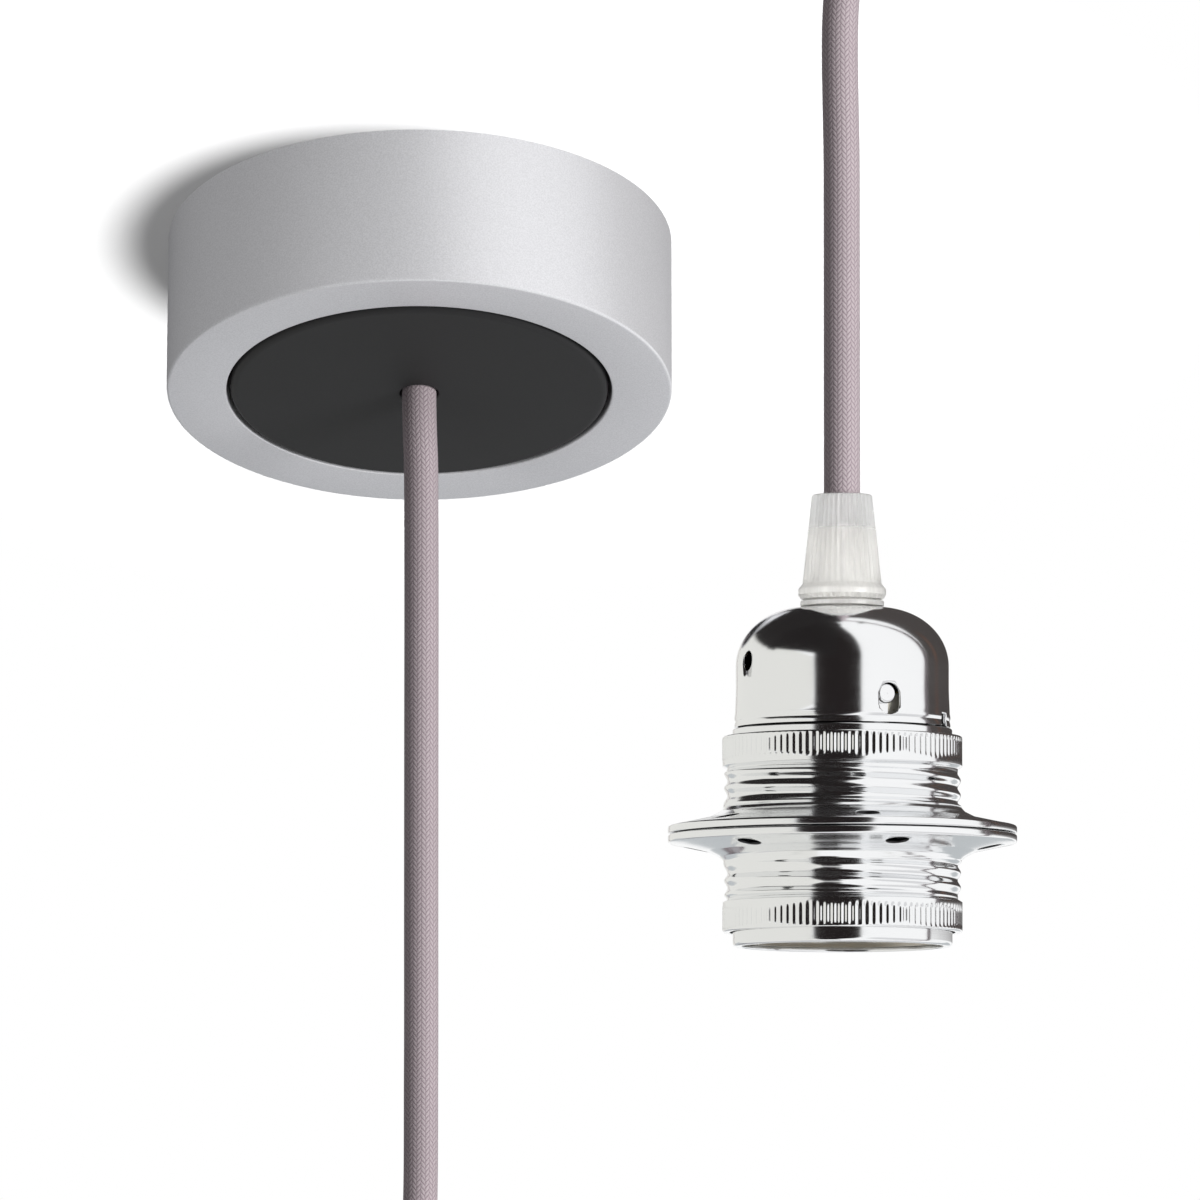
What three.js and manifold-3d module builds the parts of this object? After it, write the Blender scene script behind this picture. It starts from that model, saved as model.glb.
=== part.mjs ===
// Pendant cord set: a ceiling canopy, a textile cord and a metal lamp holder with two shade rings.
// Millimetres, +Z plumb up. The origin is the centre of the canopy's ceiling side, and the ceiling
// slopes: it falls towards +Y, so the canopy's face looks down and towards -Y.
import * as THREE from "three";
import { mergeVertices } from "three/addons/utils/BufferGeometryUtils.js";
import Module from "manifold-3d";

const wasm = await Module();
wasm.setup();

// Fits
const CLEARANCE = 0.3; // between pieces that seat on each other
const SLIDE = 0.35; // round a piece that pushes or screws into another

// Ceiling and cord
const CEILING_SLOPE = THREE.MathUtils.degToRad(21);
const CORD_DIAMETER = 6.3;
const CORD_BORE = CORD_DIAMETER / 2 + CLEARANCE;
const CORE_RADIUS = 0.9;
const CORE_END_GAP = 0.4; // between the end of the cord's braid and the cores in the solids

// Canopy, along its own axis, with 0 at the ceiling and negative values towards the room
const CANOPY_RADIUS = 45;
const CANOPY_DEPTH = 30;
const CANOPY_WALL = 1.6;
const FACE_RING_WIDTH = 10.65;
const FACE_EDGE_BREAK = 0.4;
const RECESS_DEPTH = 7.5;
const DISC_GAP = 0.7; // the dark line round the disc
const DISC_SETBACK = 0.3;
const DISC_THICKNESS = 4.4;
const DISC_EDGE_RADIUS = 0.8;
const DISC_BOSS_RADIUS = 9;
const STEM_RADIUS = 5;
const STEM_LENGTH = 8.5;
const DISC_NUT_HEIGHT = 3;
const DISC_NUT_RADIUS = 8;
const CLAMP_HEIGHT = 5;
const CLAMP_LENGTH = 20;
const CLAMP_DEPTH = 5.2;
const CLAMP_SCREW_SPACING = 14;
const BRACKET_LENGTH = 2 * CANOPY_RADIUS - 24;
const BRACKET_WIDTH = 16;
const BRACKET_THICKNESS = 1.5;
const PILLAR_SPACING = BRACKET_LENGTH - 16;
const PILLAR_RADIUS = 3.5;
const CEILING_HOLE_SPACING = PILLAR_SPACING - 16;
const CEILING_HOLE_RADIUS = 2.2;
const SCREW_RADIUS = 1.8;
const SCREW_HEAD_RADIUS = 3.5;
const SCREW_HEAD_HEIGHT = 2;
const BLOCK_LENGTH = 26;
const BLOCK_WIDTH = 13;
const BLOCK_HEIGHT = 11;
const BLOCK_OFFSET = 20.5;
const BLOCK_PITCH = 8;
const BLOCK_WIRE_HEIGHT = 4.6;
const SMALL_SCREW_RADIUS = 1.5;

// Lamp holder, along its plumb axis, with 0 where the two shade rings meet
const HOLDER_PLACE = new THREE.Vector3(73, -170, -116.5);
const SHEET = 0.6; // pressed metal of the dome and the shade rings
const SLEEVE_RADIUS = 18.5;
const SLEEVE_WALL = 0.7;
const SLEEVE_BOTTOM = -18.9;
const SLEEVE_NECK_RADIUS = 16.9;
const SLEEVE_TOP = 24;
const RING_LIP_RADIUS = 18.95;
const RING_COLLAR_RADIUS = 20.2;
const RING_TOP = 16.5;
const KNURL_TEETH = 106;
const KNURL_DEPTH = 0.28;
const KNURL_HEIGHT = 3.5;
const RING_BAND = 1.2; // plain band between the knurl and the thread
const THREAD_PITCH = 2.5;
const THREAD_CREST_RADIUS = 19.95;
const THREAD_ROOT_RADIUS = 19.45;
const FLANGE_RADIUS = 29.4;
const FLANGE_RIM = 2;
const FLANGE_SEAM = 0.1; // half the line between the two flanges
const VENT_COUNT = 6;
const VENT_RADIUS = 2;
const VENT_CIRCLE = FLANGE_RADIUS - 4.4;
const UPPER_VENT_TURN = THREE.MathUtils.degToRad(9);
const LOWER_VENT_TURN = THREE.MathUtils.degToRad(20.7);
const DOME_RADIUS = 17.95;
const DOME_TOP = 38.2;
const DOME_BOTTOM = 18;
const DOME_SHOULDER_WIDTH = 11.2;
const DOME_SHOULDER_HEIGHT = 9.8;
const DOME_BEAD = 0.25;
const DOME_VENT_RADIUS = 1.75;
const DOME_VENT_HEIGHT = 28.8;
const DOME_VENT_TURN = THREE.MathUtils.degToRad(-64);
const CATCH_TURN = THREE.MathUtils.degToRad(25.3);
const CATCH_HEIGHT = 21.9;
const CATCH_WINDOW_WIDTH = 3.9;
const CATCH_WINDOW_LENGTH = 5.4;
const CATCH_STRIP = 0.4;
const CATCH_TONGUE = 1.6;
const CATCH_HEAD_RADIUS = 1.3;
const NOTCH_TURN = THREE.MathUtils.degToRad(70);
const NOTCH_WIDTH = 2.4;
const NOTCH_HEIGHT = 2;
const GRIP_STEM_RADIUS = 4.9;
const GRIP_STEM_BOTTOM = 32.8;
const GRIP_COLLAR_RADIUS = 7.05;
const GRIP_COLLAR_TOP = 39.4;
const GRIP_BEAD_RADIUS = 7.4;
const GRIP_BEAD_TOP = 42.2;
const GRIP_BASE_RADIUS = 6.65;
const GRIP_TOP_RADIUS = 5.05;
const GRIP_TOP = 57.4;
const GRIP_RIBS = 40;
const GRIP_RIB_DEPTH = 0.22;
const GRIP_CHAMFER = 0.6;
const CLAW_TOP = 50;
const CLAW_SLOT = 1;
const CLAW_LENGTH = 7;
const LOCKNUT_FLAT = 6.5;
const LOCKNUT_HEIGHT = 3;
const CORE_BOTTOM = -16.8;
const CORE_SHOULDER = 16.4;
const CORE_TOP = 23;
const CORE_FLOOR = 9.7;
const SHELL_OUTER = 13.9; // E27 screw shell
const SHELL_ROOT = 13.2;
const SHELL_ROOM = 0.5;
const SHELL_WALL = 0.4;
const SHELL_PITCH = 3.62;
const SHELL_TURNS = 5;
const SHELL_FLANGE_HOLE = 5;
const CONTACT_RADIUS = 4;
const CONTACT_HEIGHT = 1;
const RIVET_RADIUS = 1.3;
const RIVET_OFFSET = 7.5;
const TERMINAL_BASE = 0.8;
const TERMINAL_HEIGHT = 5.2;
const TERMINAL_REACH = 14;
const TERMINAL_BLOCK = 4;
const TERMINAL_WIDTH = 6;
const TERMINAL_SCREW_HEIGHT = 3.2;
const HOLDER_SCREW_RADIUS = 1;
const EARTH_TAG_RADIUS = 8.2;
const EARTH_TAG_SHEET = 0.8;
const EARTH_TAG_DROP = 8;
const EARTH_SCREW_DROP = 6.2;

// Coil of the spare cord, hanging in the upright plane between the two plumb stretches
const COIL_RADIUS = 31.5;
const COIL_PITCH = 6.5;
const COIL_TURNS = 1233.1 / 360;
const COIL_HEIGHT = -226.5;
const CANOPY_LEG = new THREE.Vector2(0, -13.7);
const HOOK_LEG = new THREE.Vector2(140, -170);
const TIE_WIDTH = 8;
const TIE_THICKNESS = 1.5;

// Hook under the arch of the cord
const ARCH_CROWN = new THREE.Vector3(106.5, -170, 58.5);
const HOOK_ROD_RADIUS = 1.75;
const HOOK_PLATE_RADIUS = 7;
const HOOK_PLATE_THICKNESS = 2.2;

// Routes of the cord where it isn't coiled
const CANOPY_ROUTE = [
  [0, -2.88, -7.5], [0, -6.45, -16.8], [0, -10.63, -27.7], [0, -11.82, -30.8], [0, -12.86, -34.1],
  [0, -13.5, -37.4], [0, -13.7, -41], [0, -13.7, -60], [0, -13.7, -90], [0, -13.7, -120],
  [0, -13.7, -150], [0, -13.7, -175.2], [-0.4, -13.3, -180.6], [-1.5, -12, -185.8], [-3, -10.4, -189.7],
];
const HOLDER_ROUTE = [
  [28.6, -12.2, -259.75], [46, -33.5, -262], [63, -56.5, -264.5], [80, -81, -265.5], [96, -105, -264],
  [111, -127.5, -258], [123.5, -146, -246.5], [133, -160, -230.5], [138.5, -168, -212],
  [140, -170, -193], [140, -170, -170], [140, -170, -120], [140, -170, -70], [140, -170, -20],
  [140, -170, 25], [138, -170, 36.5], [130.2, -170, 48.7], [119.3, -170, 56], [106.5, -170, 58.5],
  [93.7, -170, 56], [82.8, -170, 48.7], [75, -170, 36.5], [73, -170, 25], [73, -170, -5],
  [73, -170, -35], [73, -170, -59], [73, -170, -82.5],
];

// Finishes
const FINISHES = {
  satinAluminium: { color: 0xb9babb, roughness: 0.38, metalness: 1 },
  blackPaint: { color: 0x2b2b2c, roughness: 0.6, metalness: 0 },
  polishedChrome: { color: 0xdcdddf, roughness: 0.06, metalness: 1 },
  zincSteel: { color: 0x9a9c9d, roughness: 0.4, metalness: 1 },
  brass: { color: 0xb8964f, roughness: 0.3, metalness: 1 },
  clearPlastic: { color: 0xe4e4e0, roughness: 0.25, metalness: 0 },
  whitePlastic: { color: 0xe6e3dc, roughness: 0.5, metalness: 0 },
  ceramic: { color: 0xe8e2d4, roughness: 0.35, metalness: 0 },
  textile: { color: 0x9c8f95, roughness: 0.9, metalness: 0 },
  brownInsulation: { color: 0x5a3b2a, roughness: 0.5, metalness: 0 },
  blueInsulation: { color: 0x2f5f9e, roughness: 0.5, metalness: 0 },
  earthInsulation: { color: 0x6f8f2c, roughness: 0.5, metalness: 0 },
  blackTape: { color: 0x202022, roughness: 0.85, metalness: 0 },
};

// Turned profile of [radius, height] points round the Z axis, closed on itself or on the axis
function turned(profile, segments) {
  const points = profile.map(([r, z]) => new THREE.Vector2(r, z));
  const onAxis = points[0].x === 0 && points.at(-1).x === 0;
  if (!onAxis) points.push(points[0].clone());
  if (THREE.ShapeUtils.area(points) < 0) points.reverse();
  return new THREE.LatheGeometry(points, segments).rotateX(Math.PI / 2);
}

// Closed profile of a sheet that lies to the right of a line of [radius, height] points
function sheetProfile(line, wall) {
  return [...line, ...offsetLine(line, wall).reverse()];
}

// The line moved to its right by a distance, with mitred corners
function offsetLine(line, distance) {
  return line.map(([x, y], i) => {
    const before = line[Math.max(i - 1, 0)];
    const after = line[Math.min(i + 1, line.length - 1)];
    const first = new THREE.Vector2(x - before[0], y - before[1]);
    const second = new THREE.Vector2(after[0] - x, after[1] - y);
    if (i === 0) first.copy(second);
    if (i === line.length - 1) second.copy(first);
    first.normalize();
    second.normalize();
    const along = first.clone().add(second).normalize();
    const reach = distance / Math.max(along.dot(first), 0.5);
    return [x + along.y * reach, y - along.x * reach];
  });
}

// Points of an elliptical arc in the profile plane, angles in degrees from +r towards +z
function arc(centreR, centreZ, radiusR, radiusZ, from, to, steps) {
  return Array.from({ length: steps + 1 }, (_, i) => {
    const angle = THREE.MathUtils.degToRad(from + ((to - from) * i) / steps);
    return [centreR + radiusR * Math.cos(angle), centreZ + radiusZ * Math.sin(angle)];
  });
}

// Cylinder along Z between two heights
function rod(radius, bottom, top, sides = 20) {
  return new THREE.CylinderGeometry(radius, radius, top - bottom, sides)
    .rotateX(Math.PI / 2)
    .translate(0, 0, (bottom + top) / 2);
}

function box(x0, x1, y0, y1, z0, z1) {
  return new THREE.BoxGeometry(x1 - x0, y1 - y0, z1 - z0).translate(
    (x0 + x1) / 2, (y0 + y1) / 2, (z0 + z1) / 2,
  );
}

// Prism along Z of a polygon of [x, y] points, with an optional taper towards its top
function prism(outline, bottom, top, taper = 1) {
  const shape = new THREE.Shape(outline.map(([x, y]) => new THREE.Vector2(x, y)));
  const geometry = new THREE.ExtrudeGeometry(shape, { depth: top - bottom, bevelEnabled: false });
  const place = geometry.attributes.position;
  for (let i = 0; i < place.count; i++) {
    const scale = place.getZ(i) > 0 ? taper : 1;
    place.setXYZ(i, place.getX(i) * scale, place.getY(i) * scale, place.getZ(i) + bottom);
  }
  return geometry;
}

// Round tube along hand-chosen points
function tube(points, radius, sides, steps) {
  const route = new THREE.CatmullRomCurve3(points.map((p) => new THREE.Vector3(...p)), false, "centripetal");
  const section = new THREE.Shape(
    Array.from({ length: sides }, (_, i) => {
      const angle = (2 * Math.PI * i) / sides;
      return new THREE.Vector2(radius * Math.cos(angle), radius * Math.sin(angle));
    }),
  );
  return new THREE.ExtrudeGeometry(section, { steps, bevelEnabled: false, extrudePath: route });
}

function toSolid(geometry) {
  const bare = geometry.clone();
  bare.deleteAttribute("normal");
  bare.deleteAttribute("uv");
  const merged = mergeVertices(bare, 1e-4);
  const corners = merged.index.array;
  const kept = [];
  for (let i = 0; i < corners.length; i += 3) {
    const [a, b, c] = [corners[i], corners[i + 1], corners[i + 2]];
    if (a !== b && b !== c && c !== a) kept.push(a, b, c);
  }
  return new wasm.Manifold(
    new wasm.Mesh({
      numProp: 3,
      vertProperties: new Float32Array(merged.attributes.position.array),
      triVerts: new Uint32Array(kept),
    }),
  );
}

function toGeometry(solid) {
  const mesh = solid.getMesh();
  return new THREE.BufferGeometry()
    .setAttribute("position", new THREE.BufferAttribute(mesh.vertProperties, 3))
    .setIndex(new THREE.BufferAttribute(mesh.triVerts, 1));
}

function cut(geometry, ...tools) {
  return toGeometry(tools.reduce((solid, tool) => solid.subtract(toSolid(tool)), toSolid(geometry)));
}

function join(geometry, ...others) {
  return toGeometry(others.reduce((solid, other) => solid.add(toSolid(other)), toSolid(geometry)));
}

function piece(group, name, geometry, finish) {
  const mesh = new THREE.Mesh(geometry, new THREE.MeshStandardMaterial(FINISHES[finish]));
  mesh.name = name;
  group.add(mesh);
  return mesh;
}

// Heights inside the canopy that its pieces share
const FLOOR_UNDER = -CANOPY_DEPTH + RECESS_DEPTH;
const FLOOR_TOP = FLOOR_UNDER + CANOPY_WALL;
const RECESS_RADIUS = CANOPY_RADIUS - FACE_RING_WIDTH;
const DISC_FACE = -CANOPY_DEPTH + DISC_SETBACK;
const DISC_BACK = DISC_FACE + DISC_THICKNESS;
const DISC_BOSS_TOP = FLOOR_UNDER - CLEARANCE;
const STEM_TOP = DISC_BOSS_TOP + STEM_LENGTH;
const CLAMP_BOTTOM = STEM_TOP + CLEARANCE;

// Sizes inside the lamp holder that its pieces share
const CORE_RADIUS_WIDE = SLEEVE_RADIUS - SLEEVE_WALL - SLIDE;
const CORE_NECK_RADIUS = SLEEVE_NECK_RADIUS - SLEEVE_WALL - SLIDE;
const TERMINAL_SEAT = CORE_TOP + CLEARANCE;
const CORD_END = HOLDER_ROUTE.at(-1)[2] - HOLDER_PLACE.z - CORE_END_GAP;

function canopyCup() {
  const innerRadius = CANOPY_RADIUS - CANOPY_WALL;
  const profile = [
    [innerRadius, 0],
    [CANOPY_RADIUS, 0],
    [CANOPY_RADIUS, -CANOPY_DEPTH + FACE_EDGE_BREAK],
    [CANOPY_RADIUS - FACE_EDGE_BREAK, -CANOPY_DEPTH],
    [RECESS_RADIUS + FACE_EDGE_BREAK, -CANOPY_DEPTH],
    [RECESS_RADIUS, -CANOPY_DEPTH + FACE_EDGE_BREAK],
    [RECESS_RADIUS, FLOOR_UNDER],
    [STEM_RADIUS + SLIDE, FLOOR_UNDER],
    [STEM_RADIUS + SLIDE, FLOOR_TOP],
    [RECESS_RADIUS + CANOPY_WALL, FLOOR_TOP],
    [RECESS_RADIUS + CANOPY_WALL, -CANOPY_DEPTH + CANOPY_WALL],
    [innerRadius, -CANOPY_DEPTH + CANOPY_WALL],
  ];
  const holes = [-1, 1].map((side) =>
    rod(SCREW_RADIUS + SLIDE, FLOOR_UNDER - 1, FLOOR_TOP + 1, 16).translate((side * PILLAR_SPACING) / 2, 0, 0),
  );
  return cut(turned(profile, 40), ...holes);
}

function coverDisc() {
  const radius = RECESS_RADIUS - DISC_GAP;
  return turned(
    [
      [CORD_BORE, STEM_TOP],
      [CORD_BORE, DISC_FACE + 0.3],
      [CORD_BORE + 0.3, DISC_FACE],
      ...arc(radius - DISC_EDGE_RADIUS, DISC_FACE + DISC_EDGE_RADIUS, DISC_EDGE_RADIUS, DISC_EDGE_RADIUS, -90, 0, 3),
      [radius, DISC_BACK],
      [DISC_BOSS_RADIUS, DISC_BACK],
      [DISC_BOSS_RADIUS, DISC_BOSS_TOP],
      [STEM_RADIUS, DISC_BOSS_TOP],
      [STEM_RADIUS, STEM_TOP],
    ],
    32,
  );
}

// Hexagonal nut with a round hole
function hexNut(flat, hole, bottom, height) {
  const corner = flat / Math.cos(Math.PI / 6);
  const nut = new THREE.CylinderGeometry(corner, corner, height, 6)
    .rotateX(Math.PI / 2)
    .translate(0, 0, bottom + height / 2);
  return cut(nut, rod(hole, bottom - 1, bottom + height + 1));
}

// Screw along Z with its head below a seat and its shank above it
function screw(shankRadius, headRadius, headHeight, seat, tip) {
  return turned(
    [
      [0, seat - headHeight],
      [headRadius * 0.8, seat - headHeight],
      [headRadius, seat - headHeight * 0.6],
      [headRadius, seat],
      [shankRadius, seat],
      [shankRadius, tip],
      [0, tip],
    ],
    12,
  );
}

// Strap that crosses the canopy at the ceiling, with a tapped pillar near each end
function ceilingBracket() {
  const half = BRACKET_LENGTH / 2;
  const pillarFoot = FLOOR_TOP + CLEARANCE;
  const strap = box(-half, half, -BRACKET_WIDTH / 2, BRACKET_WIDTH / 2, -BRACKET_THICKNESS, 0);
  const pillars = [-1, 1].map((side) =>
    rod(PILLAR_RADIUS, pillarFoot, -BRACKET_THICKNESS / 2).translate((side * PILLAR_SPACING) / 2, 0, 0),
  );
  const bores = [-1, 1].map((side) =>
    rod(SCREW_RADIUS + CLEARANCE, pillarFoot - 1, -BRACKET_THICKNESS - 4, 16).translate(
      (side * PILLAR_SPACING) / 2, 0, 0,
    ),
  );
  const ceilingHoles = [-1, 1].map((side) =>
    rod(CEILING_HOLE_RADIUS, -BRACKET_THICKNESS - 1, 1, 16).translate((side * CEILING_HOLE_SPACING) / 2, 0, 0),
  );
  return cut(join(strap, ...pillars), ...bores, ...ceilingHoles);
}

// One half of the clamp that keeps the cord from being pulled out, on the side given by its sign
function clampHalf(side) {
  const inner = side * CLEARANCE;
  const outer = side * (CLAMP_DEPTH + CLEARANCE);
  const half = box(
    -CLAMP_LENGTH / 2, CLAMP_LENGTH / 2, Math.min(inner, outer), Math.max(inner, outer),
    CLAMP_BOTTOM, CLAMP_BOTTOM + CLAMP_HEIGHT,
  );
  const screwHoles = [-1, 1].map((end) =>
    rod(SMALL_SCREW_RADIUS + SLIDE, -CLAMP_DEPTH - 2, CLAMP_DEPTH + 2, 12)
      .rotateX(Math.PI / 2)
      .translate((end * CLAMP_SCREW_SPACING) / 2, 0, CLAMP_BOTTOM + CLAMP_HEIGHT / 2),
  );
  return cut(half, rod(CORD_BORE, CLAMP_BOTTOM - 1, CLAMP_BOTTOM + CLAMP_HEIGHT + 1), ...screwHoles);
}

function clampScrew(end) {
  const seat = CLAMP_DEPTH + 2 * CLEARANCE;
  return screw(SMALL_SCREW_RADIUS, 2.3, 1.2, -seat, seat + 0.6)
    .rotateX(Math.PI / 2)
    .translate((end * CLAMP_SCREW_SPACING) / 2, 0, CLAMP_BOTTOM + CLAMP_HEIGHT / 2);
}

// Three-pole block on the canopy's floor, with a wire way and a screw well for each pole
function terminalBlock() {
  const bottom = FLOOR_TOP + CLEARANCE;
  const top = bottom + BLOCK_HEIGHT;
  const body = box(
    -BLOCK_LENGTH / 2, BLOCK_LENGTH / 2, BLOCK_OFFSET - BLOCK_WIDTH / 2, BLOCK_OFFSET + BLOCK_WIDTH / 2, bottom, top,
  );
  const wireWays = [-1, 0, 1].map((pole) =>
    rod(CORE_RADIUS + SLIDE, -BLOCK_WIDTH, BLOCK_WIDTH, 12)
      .rotateX(Math.PI / 2)
      .translate(pole * BLOCK_PITCH, BLOCK_OFFSET, bottom + BLOCK_WIRE_HEIGHT),
  );
  const wells = [-1, 0, 1].map((pole) =>
    rod(SMALL_SCREW_RADIUS + SLIDE, bottom + BLOCK_WIRE_HEIGHT, top + 1, 12).translate(
      pole * BLOCK_PITCH, BLOCK_OFFSET, 0,
    ),
  );
  return cut(body, ...wireWays, ...wells);
}

function terminalScrew(pole) {
  const wire = FLOOR_TOP + CLEARANCE + BLOCK_WIRE_HEIGHT;
  return rod(SMALL_SCREW_RADIUS, wire + CORE_RADIUS + CLEARANCE, wire + 5, 12).translate(
    pole * BLOCK_PITCH, BLOCK_OFFSET, 0,
  );
}

// Stripped core from the end of the cord over to its pole
function canopyCore(startX, startY, pole) {
  const wire = FLOOR_TOP + CLEARANCE + BLOCK_WIRE_HEIGHT;
  const x = pole * BLOCK_PITCH;
  const mouth = BLOCK_OFFSET - BLOCK_WIDTH / 2;
  return tube(
    [
      [startX, startY, -7.6], [startX, startY + 0.2, -5.6], [(startX + x) / 2, startY + 2.6, -3.6],
      [x * 0.9, mouth - 6.4, -4.4], [x, mouth - 3.6, -8], [x, mouth - 2.6, wire + 2.2],
      [x, mouth - 1.3, wire + 0.3], [x, mouth, wire], [x, BLOCK_OFFSET + 2, wire],
    ],
    CORE_RADIUS, 6, 11,
  );
}

function canopy() {
  const group = new THREE.Group();
  group.rotation.x = -CEILING_SLOPE;
  piece(group, "ceiling_bracket", ceilingBracket(), "zincSteel");
  piece(group, "canopy_cup", canopyCup(), "satinAluminium");
  piece(group, "cover_disc", coverDisc(), "blackPaint");
  piece(
    group, "disc_nut",
    hexNut(DISC_NUT_RADIUS, STEM_RADIUS + SLIDE, FLOOR_TOP + CLEARANCE, DISC_NUT_HEIGHT), "zincSteel",
  );
  piece(group, "clamp_base", clampHalf(1), "whitePlastic");
  piece(group, "clamp_saddle", clampHalf(-1), "whitePlastic");
  piece(group, "terminal_block", terminalBlock(), "whitePlastic");
  [-1, 1].forEach((side, i) => {
    const fixing = screw(
      SCREW_RADIUS, SCREW_HEAD_RADIUS, SCREW_HEAD_HEIGHT, FLOOR_UNDER - CLEARANCE, FLOOR_TOP + 12,
    );
    piece(group, `canopy_screw_${i + 1}`, fixing.translate((side * PILLAR_SPACING) / 2, 0, 0), "zincSteel");
    piece(group, `clamp_screw_${i + 1}`, clampScrew(side), "zincSteel");
  });
  [-1, 0, 1].forEach((pole, i) => piece(group, `terminal_screw_${i + 1}`, terminalScrew(pole), "brass"));
  piece(group, "canopy_core_live", canopyCore(-1.4, -0.8, -1), "brownInsulation");
  piece(group, "canopy_core_neutral", canopyCore(1.4, -0.8, 1), "blueInsulation");
  piece(group, "canopy_core_earth", canopyCore(0, 1.6, 0), "earthInsulation");
  return group;
}

// Outline of a ring of teeth: crest and root points alternate
function toothed(count, crest, root) {
  return Array.from({ length: 2 * count }, (_, i) => {
    const radius = i % 2 === 0 ? crest : root;
    const angle = (Math.PI * i) / count;
    return [radius * Math.cos(angle), radius * Math.sin(angle)];
  });
}

// Shade ring with a knurled collar, rolled thread and a vented flange; its flange faces down
function shadeRing(ventTurn) {
  const knurlRoot = RING_COLLAR_RADIUS - KNURL_DEPTH;
  const knurlTop = RING_TOP - 0.4;
  const knurlBottom = knurlTop - KNURL_HEIGHT;
  const threadTop = knurlBottom - RING_BAND;
  const underKnurl = knurlRoot - 0.15;
  const line = [
    [RING_LIP_RADIUS, RING_TOP],
    [underKnurl - 0.4, RING_TOP],
    [underKnurl, RING_TOP - 0.5],
    [underKnurl, knurlBottom],
    [RING_COLLAR_RADIUS, knurlBottom - 0.1],
    [RING_COLLAR_RADIUS, threadTop + 0.3],
    [THREAD_ROOT_RADIUS, threadTop - 0.5],
    [THREAD_CREST_RADIUS, threadTop - 0.5 - THREAD_PITCH * 0.5],
    [THREAD_ROOT_RADIUS, threadTop - 0.5 - THREAD_PITCH],
    [THREAD_CREST_RADIUS, threadTop - 0.5 - THREAD_PITCH * 1.5],
    [THREAD_ROOT_RADIUS, threadTop - 0.5 - THREAD_PITCH * 2],
    [THREAD_CREST_RADIUS + 0.25, 4.7],
    [THREAD_CREST_RADIUS + 0.9, 3.6],
    [THREAD_CREST_RADIUS + 2.6, 2.75],
    [FLANGE_RADIUS - FLANGE_RIM, 1.75],
  ];
  const rim = [
    [FLANGE_RADIUS - 0.3, 1.4],
    [FLANGE_RADIUS, 0.9],
    [FLANGE_RADIUS, 0.5],
    [FLANGE_RADIUS - 0.35, FLANGE_SEAM],
    [FLANGE_RADIUS - FLANGE_RIM, FLANGE_SEAM],
  ];
  const inside = [
    ...offsetLine(line.slice(-3), SHEET).reverse(),
    [THREAD_ROOT_RADIUS - SHEET, threadTop - 0.5 - THREAD_PITCH * 2],
    [THREAD_ROOT_RADIUS - SHEET, threadTop],
    [underKnurl - SHEET, threadTop + 1],
    [underKnurl - SHEET, RING_TOP - SHEET],
    [RING_LIP_RADIUS, RING_TOP - SHEET],
  ];
  const body = turned([...line, ...rim, ...inside], 28);
  const teeth = cut(
    prism(toothed(KNURL_TEETH, RING_COLLAR_RADIUS, knurlRoot), knurlBottom, knurlTop),
    rod(underKnurl - SHEET / 2, knurlBottom - 1, knurlTop + 1, 28),
  );
  const vents = Array.from({ length: VENT_COUNT }, (_, i) => {
    const angle = ventTurn + (2 * Math.PI * i) / VENT_COUNT - Math.PI / 2;
    return rod(VENT_RADIUS, 0, 5, 10).translate(VENT_CIRCLE * Math.cos(angle), VENT_CIRCLE * Math.sin(angle), 0);
  });
  return cut(join(body, teeth), ...vents);
}

// Rod that points outward from the holder's axis, for holes in its walls
function radial(geometry, turn, height) {
  return geometry.rotateY(Math.PI / 2).rotateZ(turn - Math.PI / 2).translate(0, 0, height);
}

// Outline of a slot with round ends, with its long side along X
function slotOutline(length, width) {
  const half = (length - width) / 2;
  return [1, -1].flatMap((side) =>
    Array.from({ length: 7 }, (_, i) => {
      const angle = THREE.MathUtils.degToRad(-90 + 30 * i);
      return [side * (half + (width / 2) * Math.cos(angle)), side * (width / 2) * Math.sin(angle)];
    }),
  );
}

function holderDome() {
  const shoulderR = DOME_RADIUS - DOME_SHOULDER_WIDTH;
  const shoulderZ = DOME_TOP - DOME_SHOULDER_HEIGHT;
  const line = [
    [GRIP_STEM_RADIUS + SLIDE, DOME_TOP],
    ...arc(shoulderR, shoulderZ, DOME_SHOULDER_WIDTH, DOME_SHOULDER_HEIGHT, 90, 0, 6),
    [DOME_RADIUS, DOME_BOTTOM + 2.8],
    [DOME_RADIUS + DOME_BEAD, DOME_BOTTOM + 1.6],
    [DOME_RADIUS + DOME_BEAD, DOME_BOTTOM],
  ];
  const body = turned(sheetProfile(line, SHEET), 28);
  const vent = radial(rod(DOME_VENT_RADIUS, 12, 22, 14), DOME_VENT_TURN, DOME_VENT_HEIGHT);
  const window = radial(
    prism(slotOutline(CATCH_WINDOW_LENGTH, CATCH_WINDOW_WIDTH), 12, 22), CATCH_TURN, CATCH_HEIGHT,
  );
  const notch = box(14, 22, -NOTCH_WIDTH / 2, NOTCH_WIDTH / 2, DOME_BOTTOM - 1, DOME_BOTTOM + NOTCH_HEIGHT)
    .rotateZ(NOTCH_TURN - Math.PI / 2);
  return cut(body, vent, window, notch);
}

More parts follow.
